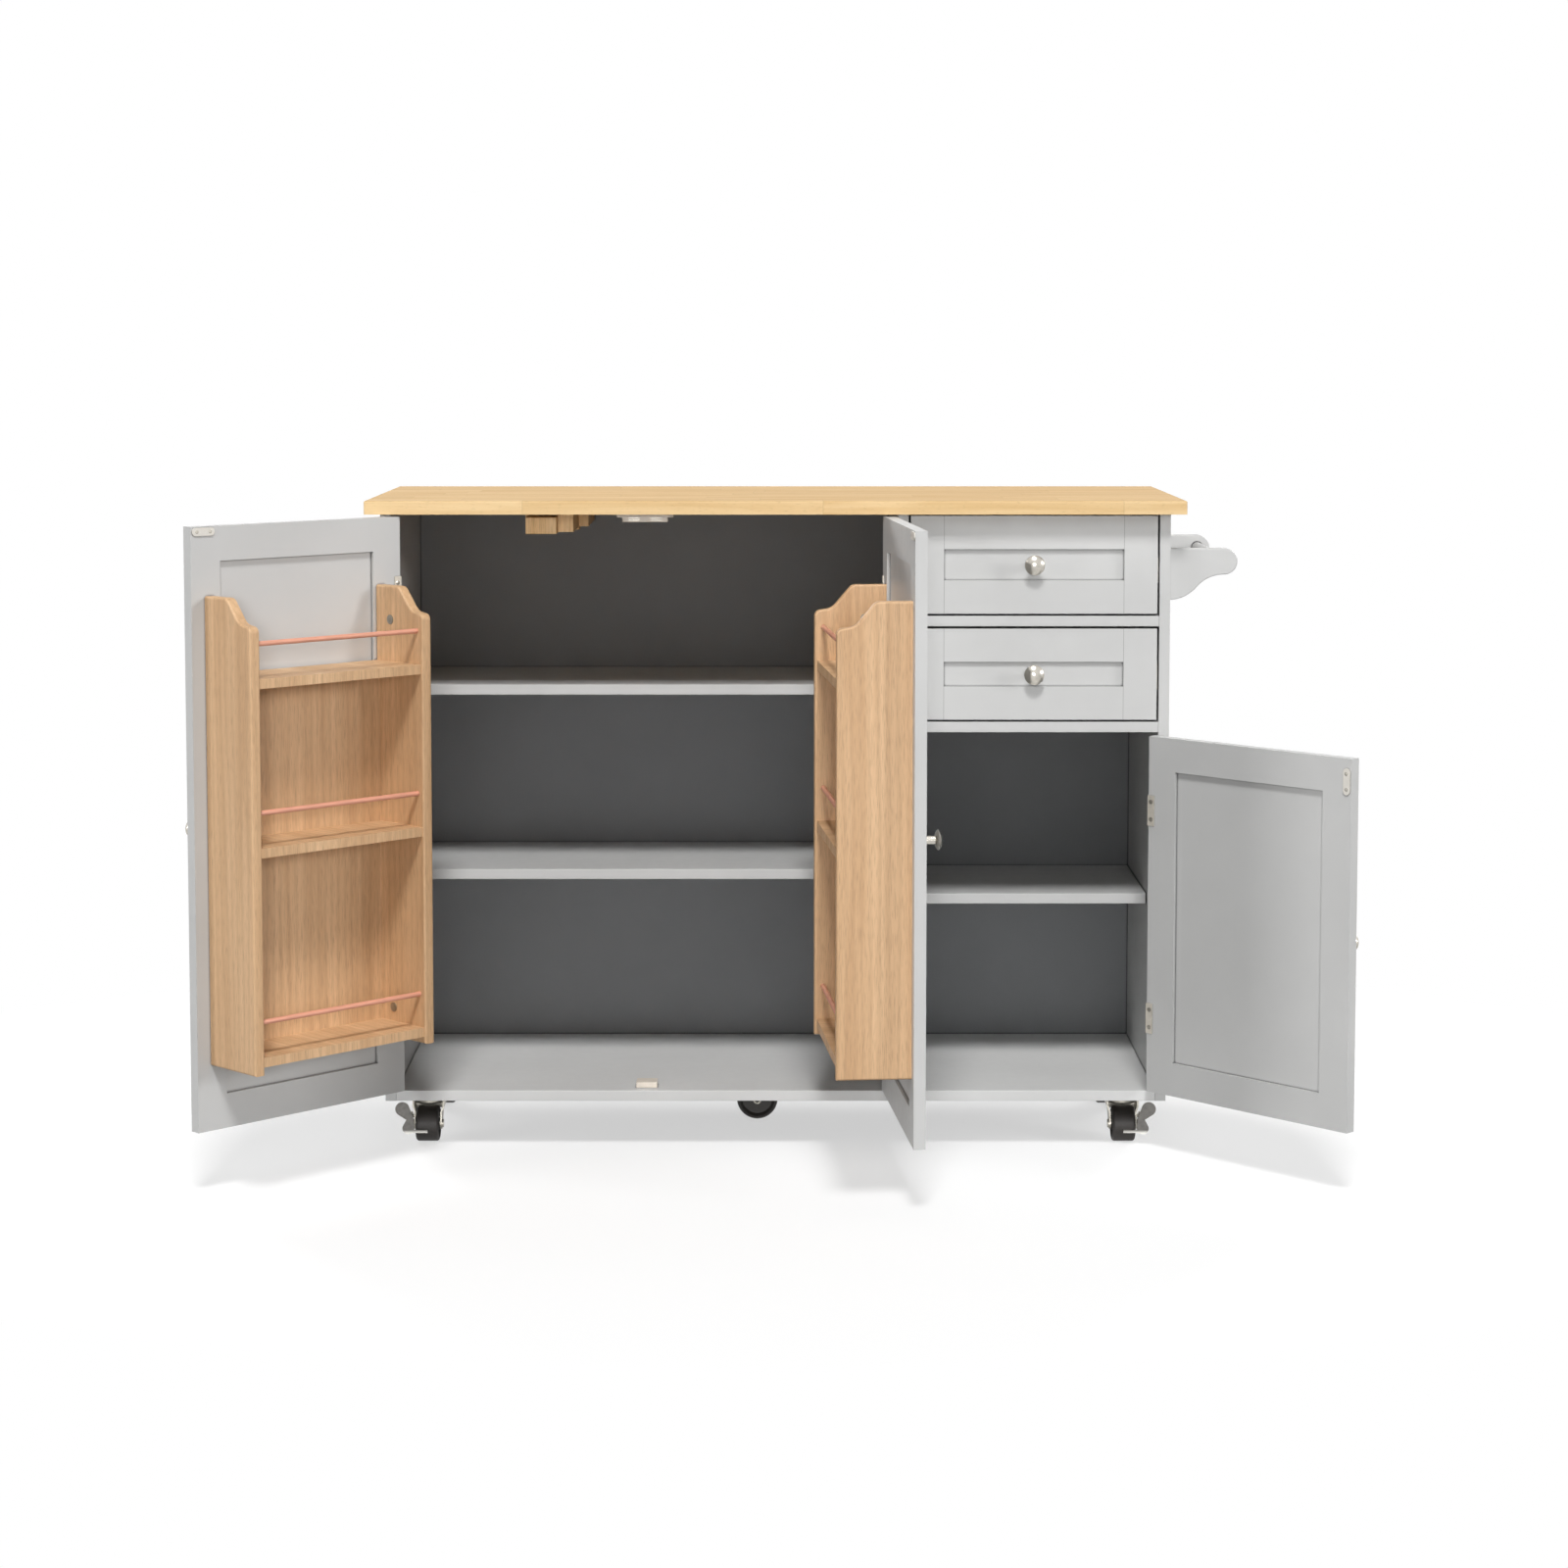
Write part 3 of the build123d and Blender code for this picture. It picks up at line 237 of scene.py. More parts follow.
def solids(node, shut=Matrix()):
    """Lowest and highest corners of each solid of a node, after the matrix shut.

    Solids that touch at shared corners count as one.
    """
    work = bmesh.new()
    work.from_mesh(NODES[node].data)
    bmesh.ops.remove_doubles(work, verts=work.verts, dist=WELD)
    work.transform(shut)
    boxes = []
    # A dictionary keeps the mesh's own order, so that the boxes come in the same order in each run
    waiting = dict.fromkeys(work.verts)
    while waiting:
        reached = [waiting.popitem()[0]]
        group = []
        while reached:
            vert = reached.pop()
            group.append(vert.co.copy())
            for link in vert.link_edges:
                other = link.other_vert(vert)
                if other in waiting:
                    del waiting[other]
                    reached.append(other)
        boxes.append((Vector(map(min, zip(*group))), Vector(map(max, zip(*group)))))
    work.free()
    return boxes


class Finish:
    """A node material that is built up one node at a time."""

    def __init__(self, name, roughness=0.5, metallic=0.0):
        self.material = bpy.data.materials.new(name)
        self.material.use_nodes = True
        self.nodes = self.material.node_tree.nodes
        self.links = self.material.node_tree.links
        self.shader = self.nodes["Principled BSDF"]
        self.shader.inputs["Roughness"].default_value = roughness
        self.shader.inputs["Metallic"].default_value = metallic

    def add(self, kind, inputs=None, **settings):
        """One node; an input is a constant or another node's output."""
        made = self.nodes.new(kind)
        for key, value in settings.items():
            setattr(made, key, value)
        for key, value in (inputs or {}).items():
            self.put(made.inputs[key], value)
        return made

    def put(self, socket, value):
        """Links or sets one input socket."""
        if isinstance(value, bpy.types.NodeSocket):
            self.links.new(value, socket)
        else:
            socket.default_value = value

    def coords(self):
        """Places in the part's own frame, in metres, carried along by the piece."""
        return self.add("ShaderNodeTexCoord").outputs["Object"]

    def facing(self, axis):
        """How squarely a face looks along an axis of the part, either way: 0 to 1."""
        normal = self.split(self.add("ShaderNodeTexCoord").outputs["Normal"])
        return self.math("ABSOLUTE", normal[axis])

    def stretch(self, vector, scale, turn=(0, 0, 0)):
        """The vector turned, then scaled axis by axis."""
        turned = self.add("ShaderNodeMapping", {"Vector": vector, "Rotation": turn}).outputs[0]
        return self.add("ShaderNodeMapping", {"Vector": turned, "Scale": scale}).outputs[0]

    def noise(self, vector, scale, detail=3.0, roughness=0.5, distortion=0.0):
        inputs = {"Vector": vector, "Scale": scale, "Detail": detail, "Roughness": roughness}
        return self.add("ShaderNodeTexNoise", inputs | {"Distortion": distortion}).outputs["Fac"]

    def drawn_lines(self, place):
        """Fine lines along Z, as on drawn or brushed metal."""
        return self.noise(self.stretch(place, LINE_STRETCH), scale=1400.0, detail=2.0)

    def math(self, operation, a, b=0.0):
        return self.add("ShaderNodeMath", {0: a, 1: b}, operation=operation).outputs[0]

    def span(self, value, low, high, to_low=0.0, to_high=1.0):
        """Value from low to high mapped to another span, and held at its ends."""
        inputs = {"Value": value, "From Min": low, "From Max": high, "To Min": to_low, "To Max": to_high}
        return self.add("ShaderNodeMapRange", inputs).outputs["Result"]

    def mix(self, factor, a, b, blend="MIX"):
        made = self.add("ShaderNodeMix", data_type="RGBA", blend_type=blend)
        self.put(made.inputs["Factor"], factor)
        self.put(made.inputs["A"], a)
        self.put(made.inputs["B"], b)
        return made.outputs["Result"]

    def two_tone(self, noise, one, other):
        """Two display colours blended by a noise."""
        return self.mix(self.span(noise, *NOISE_SPAN), linear(one), linear(other))

    def split(self, vector):
        return self.add("ShaderNodeSeparateXYZ", {"Vector": vector}).outputs

    def join(self, x, y, z):
        return self.add("ShaderNodeCombineXYZ", {"X": x, "Y": y, "Z": z}).outputs[0]

    def bump(self, height, depth, strength):
        inputs = {"Height": height, "Distance": depth, "Strength": strength}
        self.put(self.shader.inputs["Normal"], self.add("ShaderNodeBump", inputs).outputs[0])

    def colour(self, value):
        self.put(self.shader.inputs["Base Color"], value)

    def roughness(self, value, low, high, span=NOISE_SPAN):
        """Roughness from low to high over the span of a value, a noise's if none is given."""
        self.put(self.shader.inputs["Roughness"], self.span(value, *span, low, high))


def painted_board(name, rgb, joints=None):
    """Sprayed satin paint over board: a fine orange peel, faint clouding and painted shade in the inner corners.

    joints is the middle and the half distance of two upright hairlines, where a rail meets its stiles.
    """
    made = Finish(name)
    place = made.coords()
    cloud = made.noise(place, scale=5.0, detail=4.0)
    coat = made.two_tone(cloud, *(toned(rgb, tone) for tone in PAINT_TONES))
    if joints:
        middle, half = joints
        aside = made.math("ABSOLUTE", made.math("SUBTRACT", made.split(place)[0], middle))
        off_line = made.math("ABSOLUTE", made.math("SUBTRACT", aside, half))
        on_face = made.span(made.facing(0), 0.2, 0.4, 1.0, 0.0)
        line = made.math("MULTIPLY", on_face, made.span(off_line, 0.0, JOINT_LINE, 1.0, 0.0))
        coat = made.mix(line, coat, linear(toned(rgb, JOINT_TONE)))
    # Painted shade: an ambient occlusion darkens the colour in inner corners and grooves
    corner = made.add("ShaderNodeAmbientOcclusion", {"Distance": CORNER_SHADE_REACH}, samples=CORNER_SHADE_SAMPLES)
    unshaded = made.span(corner.outputs["AO"], *CORNER_SHADE_SPAN)
    made.colour(made.mix(unshaded, linear(toned(rgb, CORNER_SHADE_TONE)), coat))
    made.roughness(made.noise(place, scale=60.0), 0.40, 0.50)
    made.bump(made.noise(place, scale=420.0, detail=2.0), 0.12 * MM, 0.35)
    return made.material


def stave_wood(name, across):
    """Glued block of staves along X; across is the axis, Y or Z, over which the staves lie side by side."""
    made = Finish(name, roughness=0.6)
    made.shader.inputs["Specular IOR Level"].default_value = 0.15
    x, y, z = made.split(made.coords())
    side, depth = (y, z) if across == "Y" else (z, y)

    # Each stave has its own place in its row, tone and grain
    row_place = made.math("DIVIDE", side, STAVE_WIDTH)
    row = made.math("FLOOR", row_place)
    shift = made.add("ShaderNodeTexWhiteNoise", {"W": row}, noise_dimensions="1D").outputs["Value"]
    shift = made.math("MULTIPLY", shift, STAVE_SHIFT)
    run_place = made.math("ADD", made.math("DIVIDE", x, STAVE_LENGTH), shift)
    run = made.math("FLOOR", run_place)
    tone = made.add("ShaderNodeTexWhiteNoise", {"Vector": made.join(row, run, 0.0)}).outputs["Value"]
    lane = made.math("MULTIPLY", tone, STAVE_LANE)
    along = made.math("MULTIPLY", x, 0.05)
    grain_place = made.join(along, made.math("ADD", side, lane), made.math("ADD", depth, lane))
    streak = made.noise(grain_place, scale=60.0, detail=5.0, roughness=0.6, distortion=0.5)
    fleck_place = made.join(made.math("MULTIPLY", x, 0.12), side, depth)
    fleck = made.span(made.noise(fleck_place, scale=900.0, detail=1.0), 0.62, 0.72)
    row_seam = made.span(made.math("PINGPONG", row_place, 0.5), 0.0, STAVE_SEAM / STAVE_WIDTH, 1.0, 0.0)
    run_seam = made.span(made.math("PINGPONG", run_place, 0.5), 0.0, STAVE_SEAM / STAVE_LENGTH, 1.0, 0.0)
    seam = made.math("MAXIMUM", row_seam, run_seam)

    base = made.mix(made.span(streak, 0.35, 0.68), linear(WORKTOP_LIGHT), linear(WORKTOP_DARK))
    base = made.mix(made.span(tone, 0.0, 1.0, 0.0, 0.45), base, linear(toned(WORKTOP_DARK, 0.97)))
    base = made.mix(made.math("MULTIPLY", fleck, 0.28), base, linear(toned(WORKTOP_DARK, 0.72)))
    base = made.mix(made.math("MULTIPLY", seam, 0.35), base, linear(toned(WORKTOP_DARK, 0.6)))
    # Painted shade: the broad faces are darkened, against the stronger light from above
    shaded_face = made.span(made.facing(2 if across == "Y" else 1), 0.6, 0.8)
    made.colour(made.mix(shaded_face, base, linear(WORKTOP_FACE_SHADE), "MULTIPLY"))
    made.roughness(streak, 0.55, 0.66)
    relief = made.math("SUBTRACT", made.math("MULTIPLY", streak, 0.25), made.math("ADD", fleck, seam))
    made.bump(relief, 0.12 * MM, 0.5)
    return made.material


def straight_wood(name, light, dark, turn=0.0, flat_along=False):
    """Grain along Z, with pores and soft arches. A flat face may have its grain across, towards the front."""
    made = Finish(name)
    place = upright = made.stretch(made.coords(), (1, 1, 1), (0, 0, turn))
    if flat_along:
        x, y, z = made.split(upright)
        level = made.math("GREATER_THAN", made.facing(2), 0.7)
        blend = made.add("ShaderNodeMix", data_type="VECTOR")
        made.put(blend.inputs[0], level)
        made.put(blend.inputs[4], upright)
        made.put(blend.inputs[5], made.join(x, z, y))
        place = blend.outputs[1]
    slow = made.stretch(place, (1, 1, 0.05))
    sway = made.noise(made.stretch(place, (1, 1, 0.18)), scale=7.0, detail=2.0)
    broad = made.noise(slow, scale=26.0, detail=5.0, roughness=0.6, distortion=0.6)
    slow_x, slow_y, slow_z = made.split(slow)
    swayed = made.math("ADD", made.math("ADD", slow_x, slow_y), made.math("MULTIPLY", sway, 0.05))
    rings = {"Vector": made.join(swayed, 0.0, slow_z), "Scale": 26.0, "Distortion": 3.0, "Detail": 2.0}
    arch = made.span(made.add("ShaderNodeTexWave", rings).outputs["Fac"], 0.45, 1.0)
    pores = made.noise(made.stretch(place, (1, 1, 0.045)), scale=1150.0, detail=1.5)
    pores = made.span(pores, 0.50, 0.68)
    base = made.mix(made.span(broad, 0.32, 0.70), linear(light), linear(dark))
    base = made.mix(made.math("MULTIPLY", arch, 0.30), base, linear(toned(dark, 0.94)))
    base = made.mix(made.math("MULTIPLY", pores, 0.38), base, linear(toned(dark, 0.72)))
    made.colour(base)
    made.roughness(broad, 0.45, 0.57)
    made.bump(made.math("SUBTRACT", made.math("MULTIPLY", broad, 0.3), pores), 0.15 * MM, 0.45)
    return made.material


def turned_rod():
    """Lacquered rods with a faint lengthwise streak and a satin shine."""
    made = Finish("rail_wood", roughness=0.35)
    streak = made.noise(made.stretch(made.coords(), (0.08, 0.08, 1)), scale=500.0)
    made.colour(made.two_tone(streak, ROD_PINK, toned(ROD_PINK, 0.92)))
    made.roughness(streak, 0.30, 0.42)
    made.bump(streak, 0.05 * MM, 0.3)
    return made.material


def drawer_board():
    """Pale foil-covered board with a faint weave."""
    made = Finish("drawer_board")
    weave = made.noise(made.stretch(made.coords(), (1, 0.2, 1)), scale=240.0, detail=2.0)
    made.colour(made.two_tone(weave, DRAWER_PALE, toned(DRAWER_PALE, 0.95)))
    made.roughness(weave, 0.5, 0.62)
    made.bump(weave, 0.06 * MM, 0.3)
    return made.material


def metal(name, rgb, low, high, metallic=1.0):
    """Plated metal with fine drawn lines and a cloudy polish, of a roughness from low to high."""
    made = Finish(name, metallic=metallic)
    place = made.coords()
    lines = made.drawn_lines(place)
    cloud = made.noise(place, scale=90.0)
    made.colour(made.two_tone(cloud, rgb, toned(rgb, 0.88)))
    made.roughness(made.math("ADD", lines, cloud), low, high, span=(0.6, 1.4))
    made.bump(lines, 0.02 * MM, 0.3)
    return made.material


def pedal_steel():
    """Stamped steel with painted shade on its broad front, and a painted highlight along its edges and on its
    shoe.
    """
    made = Finish("pedal_steel", metallic=1.0)
    place = made.coords()
    broad = made.span(made.facing(1), 0.90, 0.995)
    above_shoe = made.span(made.split(place)[2], SHOE_TOP - SHOE_FADE, SHOE_TOP)
    cloud = made.noise(place, scale=160.0)
    shaded = made.two_tone(cloud, PEDAL_SHADED, toned(PEDAL_SHADED, 0.85))
    # Painted shade on the broad front above the shoe, painted highlight on the other faces
    made.colour(made.mix(made.math("MULTIPLY", broad, above_shoe), linear(PEDAL_HIGHLIGHT), shaded))
    made.roughness(cloud, 0.30, 0.44)
    made.bump(made.drawn_lines(place), 0.02 * MM, 0.3)
    return made.material


def moulded(name, rgb, roughness, scale, depth):
    """Moulded plastic or rubber with a fine skin of the given scale and depth."""
    made = Finish(name, roughness=roughness)
    place = made.coords()
    skin = made.noise(place, scale)
    cloud = made.noise(place, scale=40.0, detail=2.0)
    made.colour(made.two_tone(cloud, rgb, toned(rgb, 0.9)))
    made.roughness(skin, roughness - 0.06, roughness + 0.06)
    made.bump(skin, depth, 0.4)
    return made.material


def door_fittings(door):
    """Pale plating for a door's hinge leaves and pale enamel for its strike, which lies above them."""
    boxes = solids(f"{door}_door_fittings", shut_matrix(f"{door}_door_hinge"))
    boxes.sort(key=lambda box: box[0].z)
    level = (boxes[-2][1].z + boxes[-1][0].z) / 2
    made = Finish(f"{door}_door_fittings")
    place = made.coords()
    above = made.math("GREATER_THAN", made.split(place)[2], level)
    plated = made.two_tone(made.noise(place, scale=90.0), HINGE_PLATE, toned(HINGE_PLATE, 0.92))
    made.colour(made.mix(above, plated, linear(STRIKE_PLATE)))
    made.put(made.shader.inputs["Metallic"], made.span(above, 0.0, 1.0, HINGE_METAL, 0.0))
    made.roughness(made.noise(place, scale=700.0), 0.32, 0.44)
    made.bump(made.drawn_lines(place), 0.02 * MM, 0.3)
    return made.material


def front_joints():
    """Middle of the drawer fronts, and how far to each side of it their stiles begin."""
    low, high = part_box("upper_drawer_front")
    middle = (low[0] + high[0]) / 2
    return middle, high[0] - FRONT_STILE - middle


FINISHES = {
    "painted_board": painted_board("painted_board", GREY_PAINT),
    "rail_wood": turned_rod(),
    "drawer_board": drawer_board(),
    "bare_wood": straight_wood("bare_wood", SOFTWOOD_LIGHT, SOFTWOOD_DARK),
    "steel": metal("steel", ZINC, 0.30, 0.46),
    "nickel": metal("nickel", NICKEL, 0.16, 0.28),
    "catch_plastic": moulded("catch_plastic", CREAM, 0.42, 700.0, 0.04 * MM),
    "wheel_rubber": moulded("wheel_rubber", BLACK, 0.55, 500.0, 0.08 * MM),
    "black_fork": moulded("black_fork", BLACK, 0.35, 900.0, 0.03 * MM),
}

# Nodes whose finish differs from that of their slot
NODE_FINISHES = {
    "bottom_panel": painted_board("bottom_lit_paint", BOTTOM_LIT_PAINT),
    "back_panel": painted_board("back_shaded_paint", BACK_SHADED_PAINT),
    "worktop": stave_wood("worktop_wood", "Y"),
    "drop_leaf": stave_wood("leaf_wood", "Z"),
    "frame_hinge_leaves": metal("hinge_plate", HINGE_PLATE, 0.34, 0.48, HINGE_METAL),
}
front_paint = painted_board("drawer_front_paint", GREY_PAINT, front_joints())
for drawer in ("upper", "lower"):
    NODE_FINISHES[f"{drawer}_drawer_front"] = front_paint
for door in TALL_DOORS:
    turn = -door_turn(f"{door}_door_hinge")
    rack_wood = straight_wood(f"{door}_rack_wood", OAK_LIGHT, OAK_DARK, turn, flat_along=True)
    NODE_FINISHES[f"{door}_rack_sides"] = rack_wood
    NODE_FINISHES[f"{door}_rack_boards"] = rack_wood
for door in DOORS:
    NODE_FINISHES[f"{door}_door_fittings"] = door_fittings(door)
for side in ("left", "right"):
    NODE_FINISHES[f"front_{side}_brake_pedal"] = pedal_steel()


def dress_nodes():
    """Gives each CAD node its finish, and softens the edges of those that have a width for it."""
    for name, node in NODES.items():
        slot = SLOTS[name]
        node.data.materials.clear()
        node.data.materials.append(NODE_FINISHES.get(name) or FINISHES[slot])
        if name in EDGE_WIDTHS:
            weld = node.modifiers.new("joined_faces", "WELD")
            weld.merge_threshold = WELD
            whole = node.modifiers.new("whole_faces", "DECIMATE")
            whole.decimate_type = "DISSOLVE"
            whole.angle_limit = FLAT_ANGLE
            bevel = node.modifiers.new("soft_edges", "BEVEL")
            bevel.width = EDGE_WIDTHS[name]
            bevel.segments = EDGE_SEGMENTS
            bevel.limit_method = "ANGLE"
            bevel.angle_limit = SMOOTH_ANGLE
            shade = node.modifiers.new("flat_faces", "WEIGHTED_NORMAL")
            shade.weight = FACE_WEIGHT
            shade.keep_sharp = False


def placed(centre, facing):
    """The matrix that takes +Z to a face's outward direction, and the origin to a place on it."""
    return Matrix.Translation(centre) @ Vector(facing).to_track_quat("Z", "Y").to_matrix().to_4x4()


class Fittings:
    """Small steel fittings that ride on one body, drawn with its door shut and gathered into one mesh."""

    def __init__(self, name, body, shut=Matrix()):
        self.name = name
        self.body = body
        self.rest = shut.inverted()
        self.work = bmesh.new()

    def loop(self, place, points):
        """Corners of a loop, put in place."""
        return [self.work.verts.new(place @ Vector(point)) for point in points]

    def band(self, one, other):
        """A strip of faces between two loops with as many corners."""
        for i in range(len(one)):
            j = (i + 1) % len(one)
            self.work.faces.new((one[i], other[i], other[j], one[j]))

    def closed(self, loops):
        """A skin over a row of loops, with a face across the first and the last."""
        for one, other in zip(loops, loops[1:]):
            self.band(one, other)
        self.work.faces.new(loops[0])
        self.work.faces.new(loops[-1])

    def screw(self, centre, facing, radius, proud=SCREW_PROUD):
        """A low domed head with a cross recess, let into a face that looks along facing."""
        place = placed(centre, facing)
        loops = []
        for share, depth in SCREW_RINGS:
            reach = radius * share
            level = proud * (1 - SCREW_DOME * share**2)
            arm = math.asin(min(1.0, SCREW_ARM / share))
            side = math.pi / 2 - 2 * arm
            slope = arm + SCREW_SLOPE * side
            cuts = ((-slope, 0), (-arm, depth), (arm, depth), (slope, 0), (arm + side / 2, 0))
            points = []
            for quarter in range(4):
                for angle, sunk in cuts:
                    around = quarter * math.pi / 2 + angle
                    points.append((reach * math.cos(around), reach * math.sin(around), level - sunk))
            loops.append(self.loop(place, points))
        loops.append(self.loop(place, [(x, y, z - SCREW_SINK) for x, y, z in points]))
        self.closed(loops)

    def plate(self, centre, facing, width, height, thickness, corner):
        """A thin plate with round corners and a bevelled rim; width is level."""
        place = placed(centre, facing)
        rim = PLATE_RIM * thickness
        loops = []
        for inset, level in ((0.0, 0.0), (0.0, thickness - rim), (rim, thickness)):
            points = []
            for quarter in range(4):
                way_x = 1 if quarter in (0, 3) else -1
                way_y = 1 if quarter in (0, 1) else -1
                for step in range(PLATE_STEPS + 1):
                    angle = math.pi / 2 * (quarter + step / PLATE_STEPS)
                    x = way_x * (width / 2 - corner) + (corner - inset) * math.cos(angle)
                    y = way_y * (height / 2 - corner) + (corner - inset) * math.sin(angle)
                    points.append((x, y, level))
            loops.append(self.loop(place, points))
        self.closed(loops)

    def ring(self, centre, facing, inner, outer, proud):
        """A half-round bead of metal on a face that looks along facing."""
        place = placed(centre, facing)
        middle, half = (inner + outer) / 2, (outer - inner) / 2
        loops = []
        for step in range(RING_STEPS + 1):
            lean = math.pi * step / RING_STEPS
            reach, level = middle - half * math.cos(lean), proud * math.sin(lean)
            points = []
            for i in range(RING_SIDES):
                angle = math.tau * i / RING_SIDES
                points.append((reach * math.cos(angle), reach * math.sin(angle), level))
            loops.append(self.loop(place, points))
        for one, other in zip(loops, loops[1:] + loops[:1]):
            self.band(one, other)

    def done(self):
        """Makes the object in the rest pose and ties it to its body."""
        self.work.transform(self.rest)
        bmesh.ops.recalc_face_normals(self.work, faces=self.work.faces)
        mesh = bpy.data.meshes.new(self.name)
        self.work.to_mesh(mesh)
        self.work.free()
        mesh.materials.append(FINISHES["steel"])
        mesh.shade_smooth()
        mesh.set_sharp_from_angle(angle=SMOOTH_ANGLE)
        piece = bpy.data.objects.new(self.name, mesh)
        bpy.context.scene.collection.objects.link(piece)
        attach(piece, self.body)


def upright_pair(low, high):
    """Levels of the two screws on an upright hinge leaf with these corners."""
    middle, half = (low.z + high.z) / 2, (high.z - low.z) / 2
    return middle - HINGE_SCREW_SHARE * half, middle + HINGE_SCREW_SHARE * half


def door_screws():
    """Screws on the hinge leaves, strikes and cam locks of the doors."""
    for door in DOORS:
        shut = shut_matrix(f"{door}_door_hinge")
        screws = Fittings(f"{door}_door_screws", f"{door}_door", shut)
        inner_y = max(high.y for low, high in solids(f"{door}_door_frame", shut))
        hinge_x = JOINTS[f"{door}_door_hinge"]["pos_m"][0]
        for low, high in solids(f"{door}_door_fittings", shut):
            if low.y > inner_y - WELD:
                strike_screws(screws, low, high)
                continue
            free_x = low.x if abs(high.x - hinge_x) < abs(low.x - hinge_x) else high.x
            screw_x = free_x + math.copysign(WRAP_SCREW_INSET, hinge_x - free_x)
            for z in upright_pair(low, high):
                screws.screw((screw_x, high.y, z), (0, 1, 0), HINGE_SCREW_R)
        if door in TALL_DOORS:
            cam_screws(screws, door, shut)
        screws.done()


def strike_screws(screws, low, high):
    """One screw near each round end of a strike, which lies along X or Z."""
    middle, size = (low + high) / 2, high - low
    along = STRIKE_SCREW_SHARE * abs(size.x - size.z) / 2
    for way in (-along, along):
        dx, dz = (way, 0) if size.x > size.z else (0, way)
        screws.screw((middle.x + dx, high.y, middle.z + dz), (0, 1, 0), SMALL_SCREW_R, THIN_PROUD)


def cam_screws(screws, door, shut):
    """A crossed head on the inner face of each cam lock of a rack. Its bolt, longer in Y, has none."""
    sides = solids(f"{door}_rack_sides", shut)
    rack_x = sum(low.x + high.x for low, high in sides) / 2 / len(sides)
    for low, high in solids(f"{door}_rack_cam_locks", shut):
        middle, size = (low + high) / 2, high - low
        if size.y > size.z + WELD:
            continue
        face_x = high.x if middle.x < rack_x else low.x
        facing = (math.copysign(1, rack_x - face_x), 0, 0)
        screws.screw((face_x, middle.y, middle.z), facing, size.z / 2 - CAM_RIM, FLAT_PROUD)


def frame_screws():
    """Screws on the carcass leaves of the door hinges, and on the casters' plates."""
    screws = Fittings("frame_screws", "cabinet")
    divider_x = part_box("divider_panel")[0][0]
    for low, high in solids("frame_hinge_leaves"):
        way = 1 if high.x < divider_x - MM else -1
        face_x = (low.x if way > 0 else high.x) + way * LEAF_SHEET
        for z in upright_pair(low, high):
            screws.screw((face_x, high.y - LEAF_SCREW_INSET, z), (way, 0, 0), HINGE_SCREW_R, FLAT_PROUD)
    for low, high in solids("caster_plates"):
        middle, size = (low + high) / 2, high - low
        if size.x < size.z:
            continue
        for dx in (-PLATE_PITCH / 2, PLATE_PITCH / 2):
            for dy in (-PLATE_PITCH / 2, PLATE_PITCH / 2):
                place = (middle.x + dx, middle.y + dy, high.z - PLATE_SHEET)
                screws.screw(place, (0, 0, -1), CASTER_SCREW_R, THIN_PROUD)
    screws.done()


def leaf_hinge_screws():
    """Three screws on each plate of the drop leaf's hinges: level plates fixed, upright ones on the leaf."""
    fixed = Fittings("leaf_hinge_fixed_plates_screws", "cabinet")
    for low, high in solids("leaf_hinge_fixed_plates"):
        size = high - low
        for along, over in LEAF_SCREW_SHARES:
            place = (low.x + size.x * along, low.y + size.y * over, high.z - LEAF_PLATE)
            fixed.screw(place, (0, 0, -1), HINGE_SCREW_R, FLAT_PROUD)
    fixed.done()
    moving = Fittings("leaf_hinge_moving_plates_screws", "drop_leaf")
    for low, high in solids("leaf_hinge_moving_plates"):
        size = high - low
        for along, over in LEAF_SCREW_SHARES:
            place = (low.x + size.x * along, high.y - LEAF_PLATE, low.z + size.z * over)
            moving.screw(place, (0, -1, 0), HINGE_SCREW_R, FLAT_PROUD)
    moving.done()


def catch_magnets():
    """Steel faces of the magnets on the catches, towards the doors. The stop on the bottom has none."""
    magnets = Fittings("catch_magnets", "cabinet")
    for low, high in solids("door_catches"):
        middle, size = (low + high) / 2, high - low
        if low.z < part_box("bottom_panel")[1][2] + MM:
            continue
        length = MAGNET_SHARE * size.x
        for x in (middle.x - length, middle.x + length):
            if size.x > size.z:
                for share in DOUBLE_LEVELS:
                    place = (x, low.y, low.z + size.z * share)
                    magnets.plate(place, (0, -1, 0), length, MAGNET_STRIP, MAGNET_T, MAGNET_CORNER)
            else:
                place = (x, low.y, middle.z)
                height = SINGLE_SHARE * size.z
                magnets.plate(place, (0, -1, 0), MAGNET_STRIP, height, MAGNET_T, MAGNET_CORNER)
    magnets.done()


def axle_rings():
    """Bright rims on the two heads of the centre caster's axle."""
    rings = Fittings("centre_axle_rings", "centre_swivel")
    x, _, z = JOINTS["centre_wheel_spin"]["pos_m"]
    low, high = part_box("centre_caster_fork")
    for y, way in ((low[1], -1), (high[1], 1)):
        rings.ring((x, y, z), (0, way, 0), RING_INNER, RING_OUTER, RING_PROUD)
    rings.done()


def fork_tabs():
    """The tabs below the swivel cups that close the backs of the four outer forks."""
    for caster in OUTER_CASTERS:
        body = f"{caster}_swivel"
        tab = Fittings(f"{caster}_fork_tab", body)
        x, y, _ = JOINTS[f"{body}_turn"]["pos_m"]
        centre = (x, y + TAB_BACK + TAB_SHEET, (TAB_LOW + TAB_HIGH) / 2)
        tab.plate(centre, (0, -1, 0), TAB_WIDTH, TAB_HIGH - TAB_LOW, TAB_SHEET, TAB_CORNER)
        tab.done()


